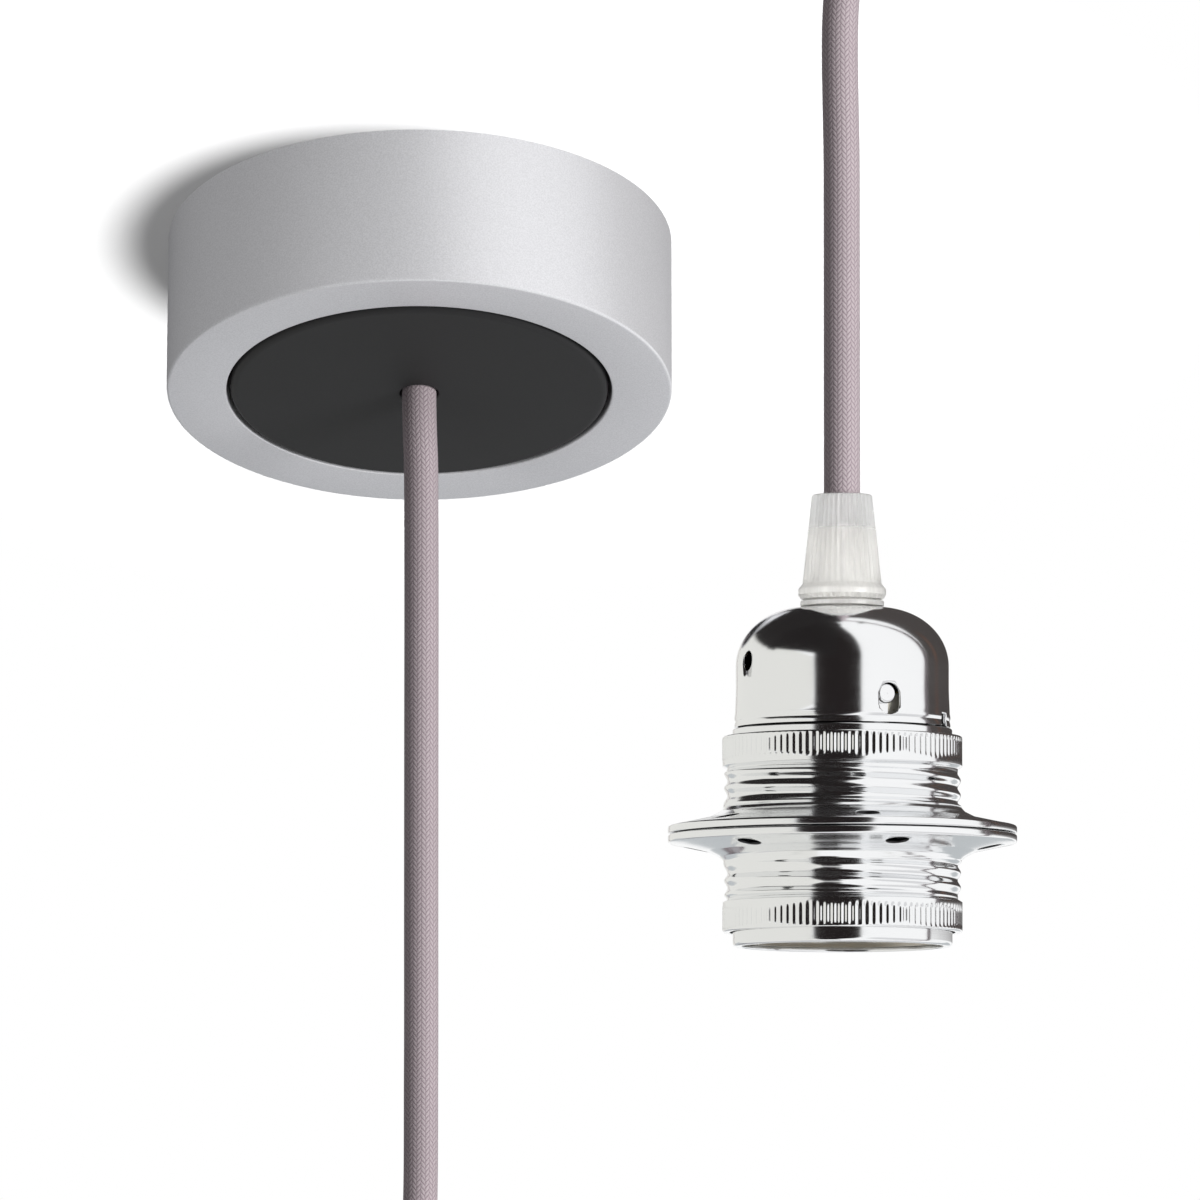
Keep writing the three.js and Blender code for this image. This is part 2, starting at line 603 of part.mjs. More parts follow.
// Spring strip on the core's neck: its round head and tongue show in the dome's window
function domeCatch() {
  const inner = CORE_NECK_RADIUS + CLEARANCE;
  const middle = -0.4;
  const strip = box(
    inner, inner + CATCH_STRIP, middle - CATCH_TONGUE / 2, middle + CATCH_TONGUE / 2,
    DOME_BOTTOM + 0.8, CATCH_HEIGHT + CATCH_WINDOW_LENGTH / 2,
  );
  const head = rod(CATCH_HEAD_RADIUS, inner + CATCH_STRIP / 2, DOME_RADIUS - CLEARANCE, 14)
    .rotateY(Math.PI / 2)
    .translate(0, middle, CATCH_HEIGHT + 1);
  return join(strip, head).rotateZ(CATCH_TURN - Math.PI / 2);
}

// Outer sleeve with a rolled-in bottom lip and a narrower neck under the dome, slotted for the catch
function threadedSleeve() {
  const shoulder = DOME_BOTTOM - CLEARANCE;
  const line = [
    [SLEEVE_NECK_RADIUS, SLEEVE_TOP],
    [SLEEVE_NECK_RADIUS, shoulder + 0.6],
    [SLEEVE_NECK_RADIUS + 0.5, shoulder],
    [SLEEVE_RADIUS - 0.3, shoulder],
    [SLEEVE_RADIUS, shoulder - 0.3],
    [SLEEVE_RADIUS, SLEEVE_BOTTOM + 1],
    [SLEEVE_RADIUS - 0.3, SLEEVE_BOTTOM + 0.3],
    [SLEEVE_RADIUS - 0.8, SLEEVE_BOTTOM],
    [SLEEVE_RADIUS - 1.4, SLEEVE_BOTTOM],
  ];
  const slot = box(
    CORE_NECK_RADIUS, SLEEVE_RADIUS + 1, -CATCH_WINDOW_WIDTH / 2 - 1, CATCH_WINDOW_WIDTH / 2 + 1,
    DOME_BOTTOM + 0.5, SLEEVE_TOP + 1,
  ).rotateZ(CATCH_TURN - Math.PI / 2);
  return cut(turned(sheetProfile(line, SLEEVE_WALL), 26), slot);
}

// Insulating core: a deep cup for the screw shell below and a neck that carries the terminals above
function ceramicCore() {
  const body = turned(
    [
      [SHELL_OUTER + SHELL_ROOM, CORE_BOTTOM],
      [CORE_RADIUS_WIDE, CORE_BOTTOM],
      [CORE_RADIUS_WIDE, CORE_SHOULDER],
      [CORE_NECK_RADIUS, CORE_SHOULDER],
      [CORE_NECK_RADIUS, CORE_TOP],
      [RIVET_RADIUS + SLIDE, CORE_TOP],
      [RIVET_RADIUS + SLIDE, CORE_FLOOR],
      [SHELL_OUTER + SHELL_ROOM, CORE_FLOOR],
    ],
    28,
  );
  return cut(body, rod(RIVET_RADIUS + SLIDE, CORE_FLOOR - 1, CORE_TOP + 1, 12).translate(RIVET_OFFSET, 0, 0));
}

// Screw shell with rolled turns and a base flange that is riveted to the core's floor
function screwShell() {
  const flangeTop = CORE_FLOOR - CLEARANCE;
  const first = flangeTop - SHELL_WALL - 0.4;
  const turns = Array.from({ length: 2 * SHELL_TURNS + 1 }, (_, i) => [
    i % 2 === 0 ? SHELL_OUTER : SHELL_ROOT,
    first - (i * SHELL_PITCH) / 2,
  ]);
  const line = [[SHELL_FLANGE_HOLE, flangeTop], [SHELL_ROOT, flangeTop], ...turns];
  return cut(
    turned(sheetProfile(line, SHELL_WALL), 18),
    rod(RIVET_RADIUS + SLIDE, flangeTop - 1, flangeTop + 1, 12).translate(RIVET_OFFSET, 0, 0),
  );
}

// Rivet through the core's floor, with its head below and its end above the terminals
function coreRivet(headRadius, headBottom, headTop) {
  return turned(
    [
      [0, headBottom],
      [headRadius * 0.8, headBottom],
      [headRadius, headBottom + 0.35],
      [headRadius, headTop],
      [RIVET_RADIUS, headTop],
      [RIVET_RADIUS, TERMINAL_SEAT + TERMINAL_BASE + 0.4],
      [0, TERMINAL_SEAT + TERMINAL_BASE + 0.4],
    ],
    14,
  );
}

// Brass terminal with a base strip over its rivet and a block for the core and its screw.
// The side is -1 for live, whose strip reaches the centre, and 1 for neutral.
function holderTerminal(side, stripEnd, rivetPlace) {
  const seat = TERMINAL_SEAT;
  const outer = side * TERMINAL_REACH;
  const inner = side * (TERMINAL_REACH - TERMINAL_BLOCK);
  const half = TERMINAL_WIDTH / 2;
  const strip = box(
    Math.min(outer, stripEnd), Math.max(outer, stripEnd), -half, half, seat, seat + TERMINAL_BASE,
  );
  const block = box(
    Math.min(outer, inner), Math.max(outer, inner), -half, half, seat, seat + TERMINAL_HEIGHT,
  );
  const middle = (outer + inner) / 2;
  return cut(
    join(strip, block),
    rod(RIVET_RADIUS + SLIDE, seat - 1, seat + TERMINAL_BASE + 0.5, 12).translate(rivetPlace, 0, 0),
    rod(CORE_RADIUS + CLEARANCE, seat + 1.5, seat + TERMINAL_HEIGHT + 1, 12).translate(middle, 0, 0),
    rod(HOLDER_SCREW_RADIUS + CLEARANCE, -half - 1, 0, 12)
      .rotateX(-Math.PI / 2)
      .translate(middle, 0, seat + TERMINAL_SCREW_HEIGHT),
  );
}

function holderTerminalScrew(side) {
  const middle = side * (TERMINAL_REACH - TERMINAL_BLOCK / 2);
  return screw(
    HOLDER_SCREW_RADIUS, 1.9, 1.1, -TERMINAL_WIDTH / 2 - CLEARANCE, -CORE_RADIUS - CLEARANCE,
  )
    .rotateX(-Math.PI / 2)
    .translate(middle, 0, TERMINAL_SEAT + TERMINAL_SCREW_HEIGHT);
}

// Earth tag: a washer clamped under the dome by the lock nut, with a bent tab for the earth screw
function earthTag() {
  const top = DOME_TOP - SHEET - CLEARANCE;
  const washer = turned(
    [
      [GRIP_STEM_RADIUS + SLIDE, top - EARTH_TAG_SHEET],
      [EARTH_TAG_RADIUS, top - EARTH_TAG_SHEET],
      [EARTH_TAG_RADIUS, top],
      [GRIP_STEM_RADIUS + SLIDE, top],
    ],
    28,
  );
  const tab = box(-2.5, 2.5, EARTH_TAG_RADIUS - EARTH_TAG_SHEET, EARTH_TAG_RADIUS, top - EARTH_TAG_DROP, top);
  const hole = rod(HOLDER_SCREW_RADIUS + CLEARANCE, 0, 12, 12)
    .rotateX(-Math.PI / 2)
    .translate(0, 0, top - EARTH_SCREW_DROP);
  return cut(join(washer, tab), hole);
}

function earthScrew() {
  const seat = -EARTH_TAG_RADIUS - CLEARANCE;
  return screw(HOLDER_SCREW_RADIUS, 2.1, 1.1, seat, seat + 2.6)
    .rotateX(Math.PI / 2)
    .translate(0, 0, DOME_TOP - SHEET - CLEARANCE - EARTH_SCREW_DROP);
}

// Threaded body of the cord grip: stem through the dome, collar on it and slotted claws above
function gripBody() {
  const collarBottom = DOME_TOP + CLEARANCE;
  const body = turned(
    [
      [CORD_BORE, GRIP_STEM_BOTTOM],
      [GRIP_STEM_RADIUS - 0.4, GRIP_STEM_BOTTOM],
      [GRIP_STEM_RADIUS, GRIP_STEM_BOTTOM + 0.4],
      [GRIP_STEM_RADIUS, collarBottom],
      [GRIP_COLLAR_RADIUS, collarBottom],
      [GRIP_COLLAR_RADIUS, GRIP_COLLAR_TOP],
      [GRIP_STEM_RADIUS, GRIP_COLLAR_TOP],
      [GRIP_STEM_RADIUS, CLAW_TOP - 0.8],
      [GRIP_STEM_RADIUS - 0.7, CLAW_TOP],
      [CORD_BORE, CLAW_TOP],
    ],
    24,
  );
  const reach = GRIP_STEM_RADIUS + 1;
  const slots = [
    box(-reach, reach, -CLAW_SLOT / 2, CLAW_SLOT / 2, CLAW_TOP - CLAW_LENGTH, CLAW_TOP + 1),
    box(-CLAW_SLOT / 2, CLAW_SLOT / 2, -reach, reach, CLAW_TOP - CLAW_LENGTH, CLAW_TOP + 1),
  ];
  return cut(body, ...slots);
}

// Clamping cap of the cord grip: a tapered ribbed cone on a smooth bead, hollow over the claws
function gripCap() {
  const bottom = GRIP_COLLAR_TOP + CLEARANCE;
  const bead = turned(
    [
      [0, bottom],
      [GRIP_BEAD_RADIUS - 0.6, bottom],
      ...arc(GRIP_BEAD_RADIUS - 1, bottom + 1.2, 1, 0.9, -45, 60, 3),
      [GRIP_BASE_RADIUS, GRIP_BEAD_TOP],
      [GRIP_BASE_RADIUS - 0.2, GRIP_BEAD_TOP + 0.8],
      [0, GRIP_BEAD_TOP + 0.8],
    ],
    28,
  );
  const ribs = prism(
    toothed(GRIP_RIBS, GRIP_BASE_RADIUS, GRIP_BASE_RADIUS - GRIP_RIB_DEPTH),
    GRIP_BEAD_TOP, GRIP_TOP - GRIP_CHAMFER, GRIP_TOP_RADIUS / GRIP_BASE_RADIUS,
  );
  const chamfer = prism(
    toothed(GRIP_RIBS, GRIP_TOP_RADIUS, (GRIP_TOP_RADIUS * (GRIP_BASE_RADIUS - GRIP_RIB_DEPTH)) / GRIP_BASE_RADIUS),
    GRIP_TOP - GRIP_CHAMFER, GRIP_TOP, 1 - GRIP_CHAMFER / GRIP_TOP_RADIUS,
  );
  const hollow = turned(
    [
      [0, bottom - 1],
      [GRIP_STEM_RADIUS + SLIDE, bottom - 1],
      [GRIP_STEM_RADIUS + SLIDE, CLAW_TOP + CLEARANCE],
      [CORD_BORE, CLAW_TOP + CLEARANCE + 2.5],
      [CORD_BORE, GRIP_TOP + 1],
      [0, GRIP_TOP + 1],
    ],
    24,
  );
  return cut(join(bead, ribs, chamfer), hollow);
}

function lampHolder() {
  const group = new THREE.Group();
  group.position.copy(HOLDER_PLACE);
  const tagBottom = DOME_TOP - SHEET - CLEARANCE - EARTH_TAG_SHEET;
  piece(group, "grip_cap", gripCap(), "clearPlastic");
  piece(group, "grip_body", gripBody(), "clearPlastic");
  piece(
    group, "grip_locknut",
    hexNut(
      LOCKNUT_FLAT, GRIP_STEM_RADIUS + SLIDE, tagBottom - CLEARANCE - LOCKNUT_HEIGHT, LOCKNUT_HEIGHT,
    ).rotateZ(Math.PI / 6),
    "zincSteel",
  );
  piece(group, "earth_tag", earthTag(), "brass");
  piece(group, "earth_screw", earthScrew(), "zincSteel");
  piece(group, "holder_dome", holderDome(), "polishedChrome");
  piece(group, "dome_catch", domeCatch(), "polishedChrome");
  piece(group, "upper_shade_ring", shadeRing(UPPER_VENT_TURN), "polishedChrome");
  const lowerRing = piece(group, "lower_shade_ring", shadeRing(-LOWER_VENT_TURN), "polishedChrome");
  lowerRing.rotation.x = Math.PI;
  piece(group, "threaded_sleeve", threadedSleeve(), "polishedChrome");
  piece(group, "ceramic_core", ceramicCore(), "ceramic");
  piece(group, "screw_shell", screwShell(), "brass");
  const flangeUnder = CORE_FLOOR - CLEARANCE - SHELL_WALL;
  piece(
    group, "shell_rivet",
    coreRivet(2.4, flangeUnder - CLEARANCE - 0.7, flangeUnder - CLEARANCE).translate(RIVET_OFFSET, 0, 0), "brass",
  );
  piece(
    group, "centre_contact",
    coreRivet(CONTACT_RADIUS, flangeUnder - 0.6 - CONTACT_HEIGHT, flangeUnder - 0.6), "brass",
  );
  piece(group, "terminal_live", holderTerminal(-1, 2.5, 0), "brass");
  piece(group, "terminal_neutral", holderTerminal(1, 5, RIVET_OFFSET), "brass");
  piece(group, "terminal_screw_live", holderTerminalScrew(-1), "zincSteel");
  piece(group, "terminal_screw_neutral", holderTerminalScrew(1), "zincSteel");
  const end = TERMINAL_REACH - TERMINAL_BLOCK / 2;
  const mouth = TERMINAL_SEAT + TERMINAL_HEIGHT;
  const sideCore = (side) =>
    tube(
      [
        [side * 1.4, -0.8, CORD_END], [side * 1.5, -0.8, CORD_END - 1.4], [side * 3.5, -0.5, CORD_END - 2.7],
        [side * (end - 4), -0.1, mouth + 2.2], [side * (end - 1), 0, mouth + 1.6],
        [side * end, 0, mouth + 0.3], [side * end, 0, mouth - 3],
      ],
      CORE_RADIUS, 6, 11,
    );
  piece(group, "holder_core_live", sideCore(-1), "brownInsulation");
  piece(group, "holder_core_neutral", sideCore(1), "blueInsulation");
  const tabFoot = DOME_TOP - SHEET - CLEARANCE - EARTH_TAG_DROP;
  const earthCore = tube(
    [
      [0, 1.6, CORD_END], [0, 1.8, CORD_END - 1.8], [0, 3, CORD_END - 4], [0, 5, tabFoot - 1.3],
      [0, EARTH_TAG_RADIUS, tabFoot - CORE_RADIUS - CLEARANCE],
    ],
    CORE_RADIUS, 6, 10,
  );
  piece(group, "holder_core_earth", earthCore, "earthInsulation");
  return group;
}

// Ring that the turns of the coil fill, round the local Z axis and spread along its negative side
function coilRing() {
  const reach = CORD_DIAMETER / 2;
  const spread = COIL_PITCH * COIL_TURNS;
  return turned(
    [
      [COIL_RADIUS - reach, -spread - reach + 1.5],
      [COIL_RADIUS - reach + 1.5, -spread - reach],
      [COIL_RADIUS + reach - 1.5, -spread - reach],
      [COIL_RADIUS + reach, -spread - reach + 1.5],
      [COIL_RADIUS + reach, reach - 1.5],
      [COIL_RADIUS + reach - 1.5, reach],
      [COIL_RADIUS - reach + 1.5, reach],
      [COIL_RADIUS - reach, reach - 1.5],
    ],
    32,
  );
}

// Flat loop round the bundle of turns, on the side of the coil given by its sign
function coilTie(side) {
  const reach = CORD_DIAMETER / 2 + CLEARANCE;
  const spread = COIL_PITCH * COIL_TURNS;
  const inside = box(
    COIL_RADIUS - reach - CLEARANCE, COIL_RADIUS + reach, -TIE_WIDTH, TIE_WIDTH, -spread - reach, reach,
  );
  const band = box(
    COIL_RADIUS - reach - CLEARANCE - TIE_THICKNESS, COIL_RADIUS + reach + TIE_THICKNESS,
    -TIE_WIDTH / 2, TIE_WIDTH / 2, -spread - reach - TIE_THICKNESS, reach + TIE_THICKNESS,
  );
  return cut(band, inside).rotateZ(side > 0 ? 0 : Math.PI);
}

function cord() {
  const group = new THREE.Group();
  piece(group, "cord_canopy_drop", tube(CANOPY_ROUTE, CORD_DIAMETER / 2, 8, 24), "textile");
  piece(group, "cord_holder_run", tube(HOLDER_ROUTE, CORD_DIAMETER / 2, 8, 58), "textile");
  const coil = new THREE.Group();
  const across = new THREE.Vector3(HOOK_LEG.x - CANOPY_LEG.x, HOOK_LEG.y - CANOPY_LEG.y, 0).normalize();
  const up = new THREE.Vector3(0, 0, 1);
  const axis = across.clone().cross(up);
  coil.quaternion.setFromRotationMatrix(new THREE.Matrix4().makeBasis(across, up, axis));
  coil.position.set(CANOPY_LEG.x, CANOPY_LEG.y, COIL_HEIGHT);
  piece(coil, "cord_coil", coilRing(), "textile");
  piece(coil, "coil_tie_1", coilTie(1), "blackTape");
  piece(coil, "coil_tie_2", coilTie(-1), "blackTape");
  group.add(coil);
  return group;
}

// Ceiling hook under the crown of the cord's arch: a round plate on the ceiling and a bent rod
function ceilingHook() {
  const bend = CORD_DIAMETER / 2 + CLEARANCE + HOOK_ROD_RADIUS;
  const shankY = ARCH_CROWN.y - bend;
  const ceilingZ = -shankY * Math.tan(CEILING_SLOPE);
  const plate = turned(
    [
      [0, -HOOK_PLATE_THICKNESS],
      [HOOK_PLATE_RADIUS - 0.8, -HOOK_PLATE_THICKNESS],
      [HOOK_PLATE_RADIUS, -HOOK_PLATE_THICKNESS + 0.8],
      [HOOK_PLATE_RADIUS, 0],
      [0, 0],
    ],
    20,
  )
    .rotateX(-CEILING_SLOPE)
    .translate(ARCH_CROWN.x, shankY, ceilingZ);
  const turn = arc(ARCH_CROWN.y, ARCH_CROWN.z, bend, bend, 180, 360, 8).map(([y, z]) => [ARCH_CROWN.x, y, z]);
  const shank = tube(
    [[ARCH_CROWN.x, shankY, ceilingZ - 1], ...turn, [ARCH_CROWN.x, ARCH_CROWN.y + bend, ARCH_CROWN.z + 1.6]],
    HOOK_ROD_RADIUS, 8, 14,
  );
  return join(plate, shank);
}

const set = new THREE.Group();
set.add(canopy());
set.add(cord());
set.add(lampHolder());
piece(set, "ceiling_hook", ceilingHook(), "zincSteel");

export default set;
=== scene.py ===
"""Looks of a pendant cord set: ceiling canopy, braided cord and lamp holder with two shade rings."""
import math

import bpy
import numpy as np
from mathutils import Matrix, Vector


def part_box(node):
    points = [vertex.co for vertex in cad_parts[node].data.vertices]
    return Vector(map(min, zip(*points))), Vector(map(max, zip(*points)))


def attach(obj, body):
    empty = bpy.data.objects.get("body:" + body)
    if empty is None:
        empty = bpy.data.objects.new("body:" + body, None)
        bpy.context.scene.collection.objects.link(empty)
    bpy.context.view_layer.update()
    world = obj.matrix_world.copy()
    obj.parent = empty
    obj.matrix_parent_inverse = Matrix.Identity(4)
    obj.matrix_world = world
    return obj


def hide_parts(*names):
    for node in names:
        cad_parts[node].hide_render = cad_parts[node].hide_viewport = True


bl_info = {
    "name": "Pendant cord set",
    "version": (1, 0, 0),
    "blender": (4, 5, 0),
    "location": "View3D > Sidebar > Cord set",
    "description": "Builds a ceiling canopy, a braided cord and a lamp holder round a fixed frame",
    "category": "Object",
}

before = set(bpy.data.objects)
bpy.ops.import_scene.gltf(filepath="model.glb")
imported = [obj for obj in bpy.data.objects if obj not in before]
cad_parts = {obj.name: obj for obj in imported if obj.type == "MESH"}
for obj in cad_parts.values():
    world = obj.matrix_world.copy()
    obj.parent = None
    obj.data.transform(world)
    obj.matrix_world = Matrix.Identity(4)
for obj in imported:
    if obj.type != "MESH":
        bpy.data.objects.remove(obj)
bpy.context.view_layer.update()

MM = 0.001
TURN = 2 * math.pi
PICTURE_WIDTH = 1200
ORIGIN_PIXEL = (420, 241)  # where the frame's origin lies in the picture


def half_width(node):
    """Half of a frame node's extent along X."""
    low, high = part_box(node)
    return (high.x - low.x) / 2


# Places that come from the frame
SLOPE = math.radians(21)
CANOPY_PLACE = Matrix.Rotation(-SLOPE, 4, "X")
RING_LOW, RING_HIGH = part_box("upper_shade_ring")
SEAM_HEIGHT = (RING_LOW.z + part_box("lower_shade_ring")[1].z) / 2
HOLDER_AXIS = (RING_LOW + RING_HIGH) / 2
HOLDER_PLACE = Matrix.Translation((HOLDER_AXIS.x, HOLDER_AXIS.y, SEAM_HEIGHT))
FLIP = Matrix.Rotation(math.pi, 4, "X")


def in_mm(points):
    """Tuples of millimetres as tuples of metres."""
    return [tuple(value * MM for value in point) for point in points]


def srgb(red, green, blue):
    """Scene-linear colour of an 8-bit display colour."""
    def linear(value):
        value /= 255
        return value / 12.92 if value <= 0.04045 else ((value + 0.055) / 1.055) ** 2.4

    return tuple(linear(value) for value in (red, green, blue))


def length_property(label, description, millimetres):
    return bpy.props.FloatProperty(
        name=label, description=description, default=millimetres * MM, unit="LENGTH", precision=4
    )


def watts_property(label, description, watts):
    return bpy.props.FloatProperty(name=label, description=description + ", watts", default=watts)


def colour_property(label, description, *display):
    return bpy.props.FloatVectorProperty(
        name=label, description=description, default=srgb(*display), subtype="COLOR", size=3
    )


class CordSizes(bpy.types.PropertyGroup):
    """Sizes of the cord, its coil and the ties."""

    diameter: length_property("Diameter", "Outside of the braid", 6.1)
    length: length_property("Length", "Free length between canopy and grip", 1500)
    coil_radius: length_property("Coil radius", "To the middle of a turn", 31.5)
    coil_pitch: length_property("Coil pitch", "Between turns that lie side by side", 6.5)
    coil_height: length_property("Coil height", "Height of the coil's centre", -226.5)
    plait_pitch: length_property("Plait pitch", "Between neighbouring floats of the braid", 0.94)
    tie_width: length_property("Tie width", "Width of the hook-and-loop tie", 8)
    tie_thickness: length_property("Tie thickness", "Thickness of the hook-and-loop tie", 1.3)
    colour: colour_property("Cord colour", "Mauve-grey textile", 192, 180, 184)


class CanopySizes(bpy.types.PropertyGroup):
    """Sizes of the canopy and its cover disc."""

    radius: bpy.props.FloatProperty(
        name="Radius", description="Outer radius of the cup", default=half_width("canopy_cup"), unit="LENGTH"
    )
    depth: length_property("Depth", "From the ceiling to the face ring", 30)
    wall: length_property("Wall", "Wall of the cup", 1.6)
    ring_width: length_property("Ring width", "Width of the face ring", 10.65)
    recess: length_property("Recess", "Depth of the cup's floor behind the face ring", 7.5)
    disc_gap: length_property("Disc gap", "Dark line round the disc", 0.7)
    disc_setback: length_property("Disc setback", "Disc behind the face ring, or before it below zero", -0.4)
    disc_thickness: length_property("Disc thickness", "Thickness of the disc's rim", 4.4)
    metal: colour_property("Metal", "Satin aluminium", 228, 228, 231)
    paint: colour_property("Paint", "Matt black of the disc", 33, 33, 34)


class HolderSizes(bpy.types.PropertyGroup):
    """Sizes of the lamp holder, heights from the seam between the shade rings."""

    flange_radius: bpy.props.FloatProperty(
        name="Flange radius", description="Outside of the shade rings",
        default=half_width("upper_shade_ring"), unit="LENGTH",
    )
    collar_radius: length_property("Collar radius", "Crest of the knurl", 20.2)
    ring_height: length_property("Ring height", "From the seam to the collar's lip", 16.5)
    knurl_depth: length_property("Knurl depth", "Depth of the knurl's grooves", 0.23)
    knurl_height: length_property("Knurl height", "Length of the knurl", 3.5)
    thread_crest: length_property("Thread crest", "Crest radius of the rolled thread", 19.95)
    thread_root: length_property("Thread root", "Root radius of the rolled thread", 19.4)
    thread_pitch: length_property("Thread pitch", "Pitch of the rolled thread", 2.5)
    dome_radius: length_property("Dome radius", "Outside of the dome", 17.95)
    dome_top: length_property("Dome top", "Height of the dome's top", 38.2)
    grip_top: length_property("Grip top", "Height of the cord grip's top", 57.4)
    sleeve_radius: length_property("Sleeve radius", "Outside of the sleeve", 18.5)
    sleeve_bottom: length_property("Sleeve bottom", "Height of the sleeve's lip", -18.9)
    sheet: length_property("Sheet", "Pressed sheet of dome and rings", 0.6)
    knurl_teeth: bpy.props.IntProperty(name="Knurl teeth", description="Grooves round a collar", default=106)
    ribs: bpy.props.IntProperty(name="Grip ribs", description="Ribs round the cord grip", default=40)
    chrome: colour_property("Chrome", "Polished chrome", 246, 247, 248)
    plastic: colour_property("Plastic", "Clear plastic of the grip", 247, 246, 243)


class StudioSizes(bpy.types.PropertyGroup):
    """Camera, lamps and background."""

    camera_distance: length_property("Camera distance", "From the canopy's ceiling side", 3000)
    camera_rise: bpy.props.FloatProperty(
        name="Camera rise", description="How far the camera looks up",
        default=math.radians(4.2), subtype="ANGLE",
    )
    lens: bpy.props.FloatProperty(name="Lens", description="Focal length on a 36 mm sensor", default=503)
    world: bpy.props.FloatProperty(name="World", description="Soft light from all sides", default=0.3)
    key: watts_property("Key", "Lamp to the right", 117)
    fill: watts_property("Fill", "Lamp to the left, for canopy and grip", 19)
    grip: watts_property("Grip light", "Lamp to the left, for the grip alone", 10)
    ceiling: watts_property("Ceiling light", "Lamp from below, for the ceiling alone", 18.5)


SETTINGS = {"cord": CordSizes, "canopy": CanopySizes, "holder": HolderSizes, "studio": StudioSizes}


def sizes(group):
    return getattr(bpy.context.scene, "cordset_" + group)


# Shader building

class Wire:
    """Output of a shader node, with arithmetic that adds Math nodes."""

    def __init__(self, tree, socket):
        self.tree = tree
        self.socket = socket

    def other(self, name):
        """Another output of the same node."""
        return Wire(self.tree, self.socket.node.outputs[name])

    def maths(self, operation, *values):
        return self.tree.node("Math", {"operation": operation}, dict(enumerate([self, *values])))

    def __add__(self, value):
        return self.maths("ADD", value)

    __radd__ = __add__

    def __mul__(self, value):
        return self.maths("MULTIPLY", value)

    __rmul__ = __mul__

    def __sub__(self, value):
        return self.maths("SUBTRACT", value)

    def __rsub__(self, value):
        return self.tree.node("Math", {"operation": "SUBTRACT"}, {0: value, 1: self})

    def __pow__(self, value):
        return self.maths("POWER", value)

    def fraction(self):
        return self.maths("FRACT")

    def floor(self):
        return self.maths("FLOOR")

    def sine(self):
        return self.maths("SINE")

    def above(self, value):
        return self.maths("GREATER_THAN", value)

    def steps(self, low, high):
        """0 below low, 1 above high, smooth between."""
        return self.tree.node(
            "MapRange", {"interpolation_type": "SMOOTHSTEP"},
            {"Value": self, "From Min": low, "From Max": high, "To Min": 0, "To Max": 1},
        )


class Tree:
    """Node tree of a material, a lamp card or the world."""

    def __init__(self, owner):
        owner.use_nodes = True
        self.nodes = owner.node_tree.nodes
        self.links = owner.node_tree.links
        self.nodes.clear()

    def node(self, kind, settings=None, values=None):
        """Adds a node: settings first, then values or wires of its sockets."""
        made = self.nodes.new("ShaderNode" + kind)
        for name, setting in (settings or {}).items():
            setattr(made, name, setting)
        for socket, value in (values or {}).items():
            if isinstance(value, Wire):
                self.links.new(value.socket, made.inputs[socket])
            else:
                made.inputs[socket].default_value = value
        return Wire(self, next(output for output in made.outputs if output.enabled) if made.outputs else None)

    def blend(self, factor, first, second):
        """Colour between two colours."""
        first, second = (value if isinstance(value, Wire) else (*value, 1) for value in (first, second))
        return self.node("Mix", {"data_type": "RGBA", "clamp_factor": True}, {0: factor, 6: first, 7: second})

    def noise(self, place, scale, detail=2, roughness=0.5):
        values = {"Vector": place, "Scale": scale, "Detail": detail, "Roughness": roughness}
        return self.node("TexNoise", {}, values)

    def hairs(self, place, across, along):
        """Noise with its own scale across the Z axis and along it."""
        stretched = self.node("VectorMath", {"operation": "MULTIPLY"}, {0: place, 1: (across, across, along)})
        return self.noise(stretched, 1, 2)

    def place(self):
        """Object coordinates: the row frame, in metres, for pieces that carry their place in the mesh."""
        return self.node("TexCoord").other("Object")

    def bump(self, height, distance, strength=1):
        return self.node("Bump", {}, {"Height": height, "Distance": distance, "Strength": strength})

    def output(self, shader, kind="Material"):
        self.node("Output" + kind, {}, {"Surface": shader})

    def surface(self, values):
        """Principled surface as the material's output."""
        self.output(self.node("BsdfPrincipled", {}, values))


FINISHES = {}


def finish(maker):
    """Keeps one material for each finish."""
    def wrapped(*details):
        key = (maker.__name__, *details)
        if key not in FINISHES:
            made = bpy.data.materials.new("_".join(str(word) for word in key))
            maker(Tree(made), *details)
            FINISHES[key] = made
        return FINISHES[key]

    return wrapped


@finish
def satin_aluminium(tree):
    """Fine blasted and anodised grain that sparkles a little, with faint cloudiness."""
    place = tree.place()
    grain = tree.noise(place, 3800, 3, 0.65)
    cloud = tree.noise(place, 45, 3)
    tint = sizes("canopy").metal
    pale = [min(value * 1.05, 1) for value in tint]
    speck = tree.blend(grain.steps(0.3, 0.7), [value * 0.86 for value in tint], pale)
    tree.surface({
        "Base Color": tree.blend(cloud * 0.4, speck, tint),
        "Metallic": 0.5,
        "Roughness": 0.4 + grain * 0.1 + cloud * 0.04,
        "Normal": tree.bump(grain, 0.03 * MM, 0.6),
    })


@finish
def black_paint(tree):
    """Matt powder paint."""
    place = tree.place()
    grain = tree.noise(place, 3600, 3, 0.6)
    cloud = tree.noise(place, 60, 2)
    paint = sizes("canopy").paint
    tree.surface({
        "Base Color": tree.blend(cloud, paint, [value * 1.18 for value in paint]),
        "Roughness": 0.62 + grain * 0.1,
        "Specular IOR Level": 0.35,
        "Normal": tree.bump(grain, 0.03 * MM, 0.5),
    })


